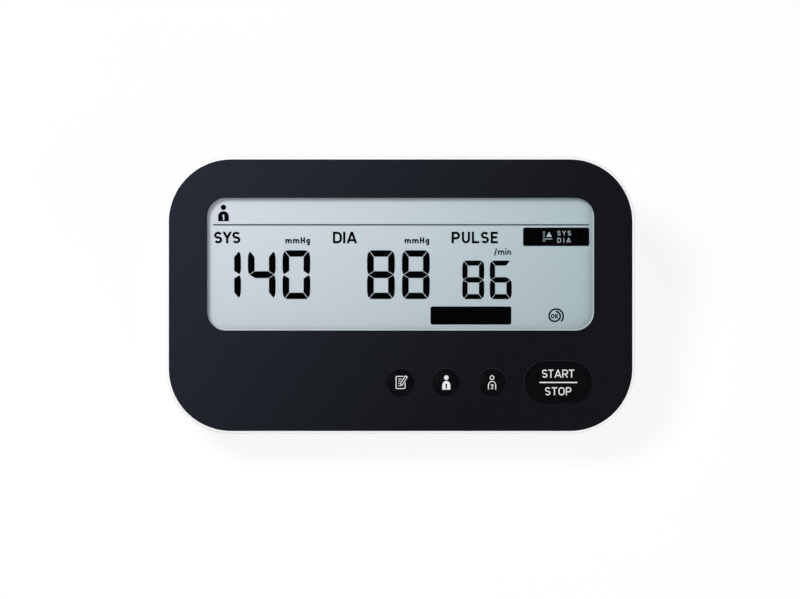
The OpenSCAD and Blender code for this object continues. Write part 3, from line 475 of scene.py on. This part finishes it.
def printed(name, layers, surface, rise, ink, body, grid=None):
    """A closed layer of ink lying on a surface: rise is its thickness in millimetres."""
    corners, triangles = painted(layers, grid)
    sunk = 0.01
    ground = [surface(x, y) for x, y in corners]
    count = len(ground)
    points = [p + OUT * rise * MM for p in ground] + [p - OUT * sunk * MM for p in ground]
    faces = [list(t) for t in triangles] + [[i + count for i in reversed(t)] for t in triangles]
    edges = {(t[k], t[(k + 1) % 3]) for t in triangles for k in range(3)}
    faces += [[b, a, a + count, b + count] for a, b in sorted(edges) if (b, a) not in edges]
    new_piece(name, points, faces, ink, body)


# ---------- Finishes ----------

NOISE_LOW, NOISE_HIGH = 0.3, 0.7  # most of a noise's values lie between these


def rgb(red, green, blue):
    """A colour given as on a screen, from 0 to 255, in the linear values that a shader takes."""
    def linear(value):
        value /= 255
        return value / 12.92 if value <= 0.04045 else ((value + 0.055) / 1.055) ** 2.4

    return (linear(red), linear(green), linear(blue), 1.0)


def add_node(tree, kind, inputs=None, **settings):
    """A node with its settings and inputs; an input is a value or another node's output."""
    node = tree.nodes.new(kind)
    for key, value in settings.items():
        setattr(node, key, value)
    for key, value in (inputs or {}).items():
        if isinstance(value, bpy.types.NodeSocket):
            tree.links.new(value, node.inputs[key])
        else:
            node.inputs[key].default_value = value
    return node


def add_maths(tree, operation, a, b=0.0):
    return add_node(tree, "ShaderNodeMath", {0: a, 1: b}, operation=operation).outputs["Value"]


def seen_rays(tree):
    """At least one for what is seen, also mirrored or through glass, and nought for soft light."""
    rays = add_node(tree, "ShaderNodeLightPath").outputs
    opaque = add_maths(tree, "ADD", rays["Is Camera Ray"], rays["Is Glossy Ray"])
    return add_maths(tree, "ADD", opaque, rays["Is Transmission Ray"])


class Finish:
    """A Principled material and the procedural nodes that feed it."""

    def __init__(self, name, **constants):
        self.material = bpy.data.materials.new(name)
        self.material.use_nodes = True
        self.tree = self.material.node_tree
        self.shader = self.tree.nodes["Principled BSDF"]
        self.place = self.add("ShaderNodeTexCoord").outputs["Object"]
        for socket, value in constants.items():
            self.shader.inputs[socket.replace("_", " ")].default_value = value

    def add(self, kind, inputs=None, **settings):
        return add_node(self.tree, kind, inputs, **settings)

    def maths(self, operation, a, b=0.0):
        return add_maths(self.tree, operation, a, b)

    def feed(self, socket, output):
        self.tree.links.new(output, self.shader.inputs[socket])

    def turned(self, angle):
        """Object coordinates turned about X by an angle in radians."""
        inputs = {"Vector": self.place, "Rotation": (angle, 0, 0)}
        return self.add("ShaderNodeMapping", inputs).outputs["Vector"]

    def noise(self, size_mm, detail=3.0, place=None):
        """Noise whose blobs are about size_mm across."""
        inputs = {"Vector": place or self.place, "Scale": 1 / (size_mm * MM), "Detail": detail}
        return self.add("ShaderNodeTexNoise", inputs).outputs["Fac"]

    def axis(self, name):
        return self.add("ShaderNodeSeparateXYZ", {"Vector": self.place}).outputs[name]

    def span(self, value, low, high, to_low=0.0, to_high=1.0):
        """A value carried from one span over to another, and held at its ends."""
        inputs = {"Value": value, "From Min": low, "From Max": high, "To Min": to_low, "To Max": to_high}
        return self.add("ShaderNodeMapRange", inputs).outputs["Result"]

    def noise_span(self, noise, to_low, to_high):
        return self.span(noise, NOISE_LOW, NOISE_HIGH, to_low, to_high)

    def ramp(self, value, *stops):
        """Colours along a value. Each stop is a position and a colour."""
        node = self.add("ShaderNodeValToRGB", {"Fac": value})
        elements = node.color_ramp.elements
        while len(elements) < len(stops):
            elements.new(0.5)
        for element, (position, colour) in zip(elements, stops):
            element.position = position
            element.color = colour
        return node.outputs["Color"]

    def blend(self, factor, a, b):
        """From colour a to colour b. A Mix node holds its colours at these three sockets."""
        in_a, in_b, result = 6, 7, 2
        inputs = {"Factor": factor, in_a: a, in_b: b}
        return self.add("ShaderNodeMix", inputs, data_type="RGBA").outputs[result]

    def colour(self, value):
        self.feed("Base Color", value)

    def mottle(self, colour, spread, size_mm):
        """A colour that drifts a little lighter and darker over blobs of that size."""
        low = tuple(c * (1 - spread) for c in colour[:3]) + (1.0,)
        high = tuple(min(c * (1 + spread), 1) for c in colour[:3]) + (1.0,)
        return self.ramp(self.noise(size_mm), (NOISE_LOW, low), (NOISE_HIGH, high))

    def rough(self, low, high, size_mm):
        """A roughness that varies over blobs of that size."""
        self.feed("Roughness", self.noise_span(self.noise(size_mm), low, high))

    def bump(self, height, depth_um):
        """Relief of that depth, in thousandths of a millimetre."""
        inputs = {"Height": height, "Distance": depth_um * MICRON}
        self.feed("Normal", self.add("ShaderNodeBump", inputs).outputs["Normal"])


FINISHES = {}


def finish(make):
    """Keeps a finish under its function's name. It is made at its first use, and only once."""
    FINISHES[make.__name__] = functools.cache(make)
    return FINISHES[make.__name__]


@finish
def white_shell():
    f = Finish("white_shell", Specular_IOR_Level=0.4)
    f.colour(f.mottle(rgb(245, 246, 247), 0.01, 9))
    f.rough(0.34, 0.42, 5)
    f.bump(f.noise(0.28, 2), 3)
    return f


@finish
def white_base():
    f = Finish("white_base", Specular_IOR_Level=0.35)
    f.colour(f.mottle(rgb(226, 228, 231), 0.02, 7))
    f.rough(0.5, 0.62, 3)
    f.bump(f.noise(0.45), 14)
    return f


@finish
def dark_panel():
    """A painted reflection of the lamp light: navy at the upper left, falling off to nearly black at the lower
    right.
    """
    f = Finish("dark_panel", Specular_IOR_Level=0.035)
    # painted reflection: the colour darkens from the upper left to the lower right as the lamp's sheen falls off
    lean, reach = -0.7, 0.11
    across = f.maths("ADD", f.axis("X"), f.maths("MULTIPLY", f.axis("Y"), lean))
    painted_falloff = f.span(across, -reach, reach)
    navy, blue, grey, black = rgb(34, 39, 49), rgb(29, 32, 40), rgb(21, 24, 30), rgb(13, 14, 18)
    painted_reflection = f.ramp(painted_falloff, (0.0, navy), (0.27, blue), (0.5, grey), (0.74, black), (1.0, black))
    grain = f.noise_span(f.noise(0.5), 0, 0.22)
    f.colour(f.blend(grain, painted_reflection, rgb(8, 9, 11)))
    f.rough(0.36, 0.46, 2.5)
    f.bump(f.noise(0.16, 2), 1.2)
    return f


@finish
def dark_key():
    """Black where the key faces out, with a painted highlight: greyer on its sloping rim."""
    f = Finish("dark_key", Specular_IOR_Level=0.03)
    normal = f.add("ShaderNodeNewGeometry").outputs["Normal"]
    facing = f.add("ShaderNodeVectorMath", {0: normal, 1: OUT}, operation="DOT_PRODUCT").outputs["Value"]
    flat = f.span(facing, 0.86, 0.975)
    # painted highlight: the sloping rim is a lighter grey, as if it caught the light
    rim_highlight, top = f.mottle(rgb(50, 54, 60), 0.1, 0.8), f.mottle(rgb(5, 5, 8), 0.25, 1.5)
    f.colour(f.blend(flat, rim_highlight, top))
    f.rough(0.16, 0.24, 2)
    f.bump(f.noise(1.2, 2), 1.0)
    return f


@finish
def key_print():
    f = Finish("key_print", Specular_IOR_Level=0.3)
    f.colour(f.mottle(rgb(222, 223, 226), 0.04, 0.4))
    f.rough(0.45, 0.6, 0.5)
    f.bump(f.noise(0.12, 2), 2)
    return f


@finish
def clear_lens():
    f = Finish("clear_lens", Base_Color=(0.02, 0.024, 0.028, 1), Alpha=0.01, IOR=1.49)
    f.rough(0.03, 0.07, 12)
    f.bump(f.noise(14, 2), 2)
    return f


@finish
def display_glass():
    """Grey-blue, with painted light: lighter at the left and deeper to the right as the lamp falls off, and
    painted shade a little darker towards its lower edge.
    """
    f = Finish("display_glass", Specular_IOR_Level=0.25)
    # painted light: the colour goes from light at the left to deeper at the right
    half_width = 0.076
    painted_falloff = f.span(f.axis("X"), -half_width, half_width)
    stops = ((0.0, rgb(208, 215, 224)), (0.45, rgb(195, 206, 212)), (1.0, rgb(168, 187, 193)))
    grain = f.noise_span(f.noise(0.55, 4), 0, 0.1)
    base = f.blend(grain, f.ramp(painted_falloff, *stops), rgb(150, 165, 172))
    # painted shade: the colour darkens towards the lower edge
    low, high, strongest = 0.0365, 0.0536, 0.16
    painted_low_shade = f.span(f.axis("Z"), low, high, strongest, 0)
    f.colour(f.blend(painted_low_shade, base, rgb(100, 115, 120)))
    f.rough(0.3, 0.42, 0.8)
    f.bump(f.noise(0.2, 2), 0.8)
    return f


def crystal_ink(name, colour, spread, specular):
    """What the liquid crystal turns dark, as a thin ink on its glass."""
    f = Finish(name, Specular_IOR_Level=specular)
    f.colour(f.mottle(colour, spread, 0.6))
    f.rough(0.35, 0.5, 0.6)
    f.bump(f.noise(0.15, 2), 0.5)
    return f


@finish
def display_ink():
    return crystal_ink("display_ink", rgb(1, 1, 2), 0.3, 0.0)


@finish
def faint_ink():
    return crystal_ink("faint_ink", rgb(80, 87, 93), 0.1, 0.1)


@finish
def edge_highlight():
    f = Finish("edge_highlight", Specular_IOR_Level=0.4)
    # a pale colour for the painted highlight along the window's right and bottom edges
    f.colour(f.mottle(rgb(222, 232, 238), 0.03, 0.8))
    f.rough(0.3, 0.4, 1)
    f.bump(f.noise(0.2, 2), 1)
    return f


def plastic(name, colour, rough, grain_mm=0.35, depth_um=6, spread=0.05, specular=0.4):
    """A moulded plastic with a fine spark-eroded grain."""
    f = Finish(name, Specular_IOR_Level=specular)
    f.colour(f.mottle(colour, spread, 4))
    f.rough(rough - 0.06, rough + 0.06, 2)
    f.bump(f.noise(grain_mm), depth_um)
    return f


@finish
def display_frame():
    return plastic("display_frame", rgb(206, 208, 210), 0.5)


@finish
def black_plastic():
    return plastic("black_plastic", rgb(22, 22, 24), 0.42, spread=0.15)


@finish
def grey_plastic():
    return plastic("grey_plastic", rgb(150, 154, 160), 0.45)


@finish
def natural_nylon():
    f = Finish("natural_nylon", Specular_IOR_Level=0.45, Subsurface_Weight=0.25,
               Subsurface_Scale=0.001, Subsurface_Radius=(1.0, 0.9, 0.7))
    f.colour(f.mottle(rgb(228, 222, 206), 0.05, 3))
    f.rough(0.38, 0.5, 2)
    f.bump(f.noise(0.5), 8)
    return f


@finish
def display_reflector():
    f = Finish("display_reflector", Metallic=1.0)
    f.colour(f.mottle(rgb(214, 218, 222), 0.05, 6))
    f.rough(0.28, 0.42, 3)
    f.bump(f.noise(0.25), 6)
    return f


@finish
def black_foam():
    f = Finish("black_foam", Specular_IOR_Level=0.1)
    scale = 1 / (0.22 * MM)
    cells = f.add("ShaderNodeTexVoronoi", {"Vector": f.place, "Scale": scale}).outputs["Distance"]
    f.colour(f.ramp(cells, (0.0, rgb(14, 14, 15)), (0.6, rgb(44, 44, 46))))
    f.rough(0.85, 0.97, 1)
    f.bump(cells, 70)
    return f


def rubber(name, colour, rough=0.7, spread=0.12, depth_um=10):
    """A soft moulded rubber with a dull bloom on it."""
    f = Finish(name, Specular_IOR_Level=0.3, Sheen_Weight=0.15, Sheen_Roughness=0.5)
    f.colour(f.mottle(colour, spread, 1.8))
    f.rough(rough - 0.08, rough + 0.08, 1.5)
    f.bump(f.noise(0.3, 4), depth_um)
    return f


@finish
def grey_silicone():
    return rubber("grey_silicone", rgb(168, 172, 176), 0.55, 0.05)


@finish
def carbon():
    return rubber("carbon", rgb(26, 26, 28), 0.6, 0.3, 6)


@finish
def foot_rubber():
    return rubber("foot_rubber", rgb(88, 91, 96), 0.78, 0.1, 16)


@finish
def pump_rubber():
    return rubber("pump_rubber", rgb(38, 38, 40), 0.66)


@finish
def hose_silicone():
    f = Finish("hose_silicone", Specular_IOR_Level=0.5, Subsurface_Weight=0.35,
               Subsurface_Scale=0.0012, Subsurface_Radius=(1.0, 0.95, 0.9))
    f.colour(f.mottle(rgb(214, 218, 220), 0.05, 2.5))
    f.rough(0.28, 0.42, 1.5)
    f.bump(f.noise(0.8), 14)
    return f


@finish
def zebra_rubber():
    f = Finish("zebra_rubber", Specular_IOR_Level=0.25)
    inputs = {"Vector": f.place, "Scale": 1 / (2.2 * MM), "Distortion": 0.0}
    stripes = f.add("ShaderNodeTexWave", inputs, bands_direction="X")
    f.colour(f.ramp(stripes.outputs["Fac"], (0.4, rgb(196, 150, 146)), (0.6, rgb(30, 30, 32))))
    f.rough(0.6, 0.75, 1)
    f.bump(f.noise(0.2, 2), 5)
    return f


@finish
def circuit_board():
    """Green lacquer over tracks that run with the tilted board, and bare dots on them."""
    f = Finish("circuit_board", Specular_IOR_Level=0.45, Coat_Weight=0.25, Coat_Roughness=0.2)
    slanted = f.turned(math.asin(OUT.y))
    tracks = f.add("ShaderNodeTexBrick", {
        "Vector": slanted, "Color1": (0, 0, 0, 1), "Color2": (0, 0, 0, 1), "Mortar": (1, 1, 1, 1),
        "Scale": 1 / (4.2 * MM), "Mortar Size": 0.05, "Mortar Smooth": 0.2, "Bias": 0.0,
        "Brick Width": 1.7, "Row Height": 0.42}, offset=0.37, squash=1.6)
    vias = f.add("ShaderNodeTexVoronoi", {"Vector": slanted, "Scale": 1 / (3.4 * MM), "Randomness": 0.8})
    green = f.mottle(rgb(22, 74, 52), 0.15, 5)
    board = f.blend(tracks.outputs["Color"], green, rgb(44, 112, 78))
    spot = f.span(vias.outputs["Distance"], 0.1, 0.13, 1, 0)
    f.colour(f.blend(spot, board, rgb(190, 170, 110)))
    f.rough(0.28, 0.4, 2)
    f.bump(f.maths("ADD", tracks.outputs["Fac"], spot), 18)
    return f


def metal(name, colour, rough, size_mm=1.5, depth_um=3, spread=0.06, stretch=None):
    """A metal with a drawn or plated surface."""
    f = Finish(name, Metallic=1.0)
    place = f.place
    if stretch:
        place = f.add("ShaderNodeMapping", {"Vector": f.place, "Scale": stretch}).outputs["Vector"]
    f.colour(f.mottle(colour, spread, size_mm * 2))
    streaks = f.noise(size_mm, 4, place)
    f.feed("Roughness", f.noise_span(streaks, rough - 0.07, rough + 0.09))
    f.bump(streaks, depth_um)
    return f


@finish
def gold():
    return metal("gold", rgb(226, 186, 104), 0.3, 0.6)


@finish
def steel():
    return metal("steel", rgb(186, 188, 192), 0.3, 0.5, stretch=(0.12, 1, 1))


@finish
def spring_steel():
    return metal("spring_steel", rgb(168, 170, 172), 0.24, 0.7)


@finish
def magnet():
    return metal("magnet", rgb(74, 74, 78), 0.55, 0.4, 12, 0.15)


@finish
def bronze():
    return metal("bronze", rgb(176, 128, 78), 0.5, 0.3, 14, 0.18)


@finish
def chip():
    return plastic("chip", rgb(30, 31, 33), 0.6, 0.12, 9, 0.12)


@finish
def capacitor():
    f = Finish("capacitor", Metallic=1.0)
    f.colour(f.mottle(rgb(176, 180, 186), 0.06, 2))
    f.rough(0.24, 0.36, 1)
    f.bump(f.noise(0.3), 4)
    return f


@finish
def copper_wire():
    f = Finish("copper_wire", Metallic=0.85, Coat_Weight=0.3, Coat_Roughness=0.15)
    inputs = {"Vector": f.place, "Scale": 1 / (1.4 * MM), "Distortion": 0.6, "Detail": 1.0,
              "Detail Scale": 2.0}
    turns = f.add("ShaderNodeTexWave", inputs, bands_direction="X").outputs["Fac"]
    # painted shade between the turns and a painted highlight on their crests; the side colour is the copper's own
    between, side, crest_highlight = rgb(96, 44, 22), rgb(190, 104, 58), rgb(226, 150, 96)
    f.colour(f.ramp(turns, (0.0, between), (0.5, side), (1.0, crest_highlight)))
    f.rough(0.26, 0.36, 1)
    f.bump(turns, 60)
    return f


@finish
def battery_label():
    """A cell's printed sleeve, with its bare metal ends."""
    f = Finish("battery_label", Specular_IOR_Level=0.5)
    low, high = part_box("battery_cells")
    middle, half = (low.x + high.x) / 2, (high.x - low.x) / 2
    reach = f.maths("ABSOLUTE", f.maths("SUBTRACT", f.axis("X"), middle))
    band_from, bare_from, blur = 0.60, 0.93, 0.005
    bare = f.span(reach, half * bare_from, half * (bare_from + blur))
    band = f.span(reach, half * band_from, half * (band_from + blur))
    sleeve = f.blend(band, f.mottle(rgb(62, 96, 120), 0.05, 3), f.mottle(rgb(196, 202, 206), 0.04, 3))
    f.colour(f.blend(bare, sleeve, f.mottle(rgb(190, 192, 195), 0.06, 1)))
    f.feed("Metallic", bare)
    f.rough(0.26, 0.36, 2)
    f.bump(f.noise(0.9), 5)
    return f


@finish
def wire_insulation():
    f = Finish("wire_insulation", Specular_IOR_Level=0.45)
    f.colour(f.ramp(f.noise(14, 1), (0.46, rgb(168, 36, 32)), (0.54, rgb(28, 28, 30))))
    f.rough(0.35, 0.45, 1)
    f.bump(f.noise(0.5), 8)
    return f


def finish_nodes():
    """Gives every CAD node the finish that its material slot names in the record."""
    for subpart in frame["record"]["subparts"]:
        material = FINISHES[subpart["material_slot"]]().material
        for slot in NODES[subpart["node"]].material_slots:
            slot.material = material


# ---------- What the display shows ----------


def display_words():
    """The words over the readings, and their units."""
    base, cap, stroke = 19.59, 4.4, 0.88
    words = []
    for letters, x, width in (("SYS", -70.5, 9.95), ("DIA", -25.6, 9.2), ("PULSE", 19.28, 17.5)):
        words += text(letters, x, base, cap, stroke, width)
    unit_cap, unit_stroke, condense = 2.3, 0.56, 0.95
    for x in (-43.55, 1.5):
        words += text("mmHg", x, base, unit_cap, unit_stroke, 9.3, condense)
    low_base, thin_stroke = 15.27, 0.48
    return words + text("/min", 35.28, low_base, unit_cap, thin_stroke, 6.5, condense)


def display_readings():
    """The three numbers; the pulse is set a little smaller."""
    base, pulse_base, pulse_height = -1.46, -1.5, 14.6
    systolic = number("140", -70.83, base, DIGIT_H, 13.1)
    diastolic = number("88", -12.68, base, DIGIT_H, 13.2)
    return systolic + diastolic + number("86", 23.3, pulse_base, pulse_height, 10.4)


def level_sign():
    """A scale with an arrow head over its longest mark, and two small words beside it."""
    left, half_mark = 53.75, 0.12
    sign = [rectangle(left, y - half_mark, 54.6, y + half_mark) for y in (23.85, 23.04, 22.21, 20.48)]
    sign += [rectangle(left, 21.13, 57.3, 21.39), [(55.05, 22.05), (57.2, 22.05), (56.12, 23.95)]]
    words_x, cap, stroke, width = 59.25, 1.8, 0.25, 5.1
    for letters, base in (("SYS", 22.57), ("DIA", 19.87)):
        sign += text(letters, words_x, base, cap, stroke, width)
    return sign


def ok_sign():
    """The letters OK in a ring, whose line swings on round it as a second one."""
    x, y, rx, ry = 58.22, -7.95, 2.12, 1.92
    reach, swing_ry, weight = 0.56, 2.73, 0.62
    ring = arc(x, y, rx, ry, 80, -180)
    swing = arc(x + reach, y, rx + reach, swing_ry, 180, -46)
    cap, stroke, width, condense = 1.76, 0.42, 2.85, 0.92
    letters = text("OK", x - 1.42, y - 0.85, cap, stroke, width, condense)
    return ribbon(ring + swing[1:], weight) + letters


def display_print():
    """The liquid crystal's dark readings, words and signs, and its grey rule."""
    glass, rise, corner = node_surface("lcd_glass"), 0.03, 0.75
    user, user_figure = person_filled(-66.95, 27.95, 1.02, 0.44)
    level_block = rectangle(46.27, 18.57, 71.32, 25.57, corner)
    bare_block = rectangle(11.3, -11.1, 41.85, -4.25, corner)
    dark = user + display_words() + display_readings() + [level_block, bare_block] + ok_sign()
    layers = [(True, dark), (False, user_figure + level_sign())]
    printed("display_figures", layers, glass, rise, display_ink(), "case")
    rule = rectangle(-70.8, 26.3, 71.3, 26.9)
    printed("display_rule", [(True, [rule])], glass, rise, faint_ink(), "case")


def display_edge_highlight():
    """A painted highlight: a pale line along the liquid crystal's edge, only at the right and the bottom of the
    window, where the edge catches the light.
    """
    window_w, window_l, middle, r = 146.0, 50.0, 11.7, 7.0
    near, far = 0.3, 0.2  # how far it goes past the window, on the seen sides and the others
    left, right = -window_w / 2 - far, window_w / 2 + near
    low, high = middle - window_l / 2 - near, middle + window_l / 2 + far
    line, beyond, rise = 0.62, 2.0, 0.2
    # painted highlight: the inner outline is moved left and up, so the pale line shows only on the right and
    # bottom sides
    outer = rectangle(left, low, right, high, r)
    inner = rectangle(left - beyond, low + line, right - line, high + beyond, r)
    glass = node_surface("lcd_glass")
    printed("display_edge_highlight", [(True, [outer]), (False, [inner])], glass, rise, edge_highlight(), "case")


# ---------- What the keys show ----------


def key_signs():
    """What is painted on each key, round the middle of its sign."""
    thin, bold, size = 0.32, 0.5, 0.88
    foot = -PERSON_H * size / 2
    body, figure = person_filled(0, foot, size, bold, KEY_PERSON_W)
    cap, stroke, condense = 3.05, 0.41, 0.95
    words = text("START", -6.15, 1.8, cap, stroke, 12.2, condense)
    words += text("STOP", -5.0, -4.85, cap, stroke, 9.95, condense)
    rule = rectangle(-7.15, -0.22, 7.15, 0.22)
    return {
        "memory": notepad(thin),
        "user_1": [(True, body), (False, figure)],
        "user_2": [(True, person_outlined(0, foot, size, thin))],
        "start_stop": [(True, words + [rule])],
    }


def key_prints():
    """Pale signs on the round keys and the two words on the start and stop key."""
    rise, mesh_step, lower = 0.02, 0.6, 0.37
    for key, layers in key_signs().items():
        u, v = face_place(f"button_{key}")
        placed = [(paint, moved(polygons, u, v - lower)) for paint, polygons in layers]
        surface = node_surface(f"button_{key}")
        printed(f"print_{key}", placed, surface, rise, key_print(), f"key_{key}", mesh_step)


# ---------- Floor, light and camera ----------


def studio_floor():
    """A pale floor that shows as white but keeps the shadow, and is clear from below."""
    mesh = bpy.data.meshes.new("floor")
    half = 4.0
    corners = [(x, y, 0) for x, y in rectangle(-half, -half, half, half)]
    mesh.from_pydata(corners, [], [(0, 1, 2, 3)])
    floor = new_object("floor", mesh)
    f = Finish("floor", Roughness=0.9, Specular_IOR_Level=0.1)
    f.colour(f.mottle(rgb(250, 250, 250), 0.01, 60))
    share_unseen, share_seen = 0.5, 0.8
    share = f.span(seen_rays(f.tree), 0, 1, share_unseen, share_seen)
    glow = f.add("ShaderNodeEmission", {"Color": (1, 1, 1, 1), "Strength": 1.0}).outputs["Emission"]
    mixed = f.add("ShaderNodeMixShader", {0: share, 1: f.shader.outputs["BSDF"], 2: glow})
    clear = f.add("ShaderNodeBsdfTransparent").outputs["BSDF"]
    below = f.add("ShaderNodeNewGeometry").outputs["Backfacing"]
    one_sided = f.add("ShaderNodeMixShader", {0: below, 1: mixed.outputs["Shader"], 2: clear})
    output = f.tree.nodes["Material Output"]
    f.tree.links.new(one_sided.outputs["Shader"], output.inputs["Surface"])
    mesh.materials.append(f.material)


def studio_world():
    """Even soft light from all round; what is seen of it is white."""
    world = bpy.data.worlds.new("studio")
    bpy.context.scene.world = world
    world.use_nodes = True
    tree = world.node_tree
    background = tree.nodes["Background"]
    background.inputs["Color"].default_value = (1, 1, 1, 1)
    unseen, seen = 0.3, 1.0
    inputs = {"Value": seen_rays(tree), "To Min": unseen, "To Max": seen}
    level = add_node(tree, "ShaderNodeMapRange", inputs)
    tree.links.new(level.outputs["Result"], background.inputs["Strength"])


def stand(thing, place, direction):
    """Stands a lamp or the camera at a place, turned to face a direction."""
    thing.location = place
    thing.rotation_mode = "QUATERNION"
    thing.rotation_quaternion = direction.to_track_quat("-Z", "Y")


def area_lamp(name, place, aim, size, watts):
    data = bpy.data.lights.new(name, "AREA")
    data.shape = "DISK"
    data.size = size
    data.energy = watts
    stand(new_object(name, data), place, aim - place)


def studio_lamps():
    middle = on_face(0, 0)
    area_lamp("key_lamp", on_face(-400, 400, 800), middle, 0.4, 6.5)
    area_lamp("fill_lamp", on_face(600, -250, 700), middle, 0.9, 3.4)


def camera():
    """The photograph's view: straight on to the face, from far enough to look flat."""
    data = bpy.data.cameras.new("camera")
    data.sensor_width = 36.0
    data.lens = 150.0
    shown_width = 0.30175
    distance = shown_width * data.lens / data.sensor_width
    eye = new_object("camera", data)
    stand(eye, on_face(-0.23, -1.62) + OUT * distance, -OUT)
    bpy.context.scene.camera = eye


bpy.context.scene.view_settings.view_transform = "Standard"
camera()
studio_floor()
studio_world()
studio_lamps()
finish_nodes()
display_print()
display_edge_highlight()
key_prints()
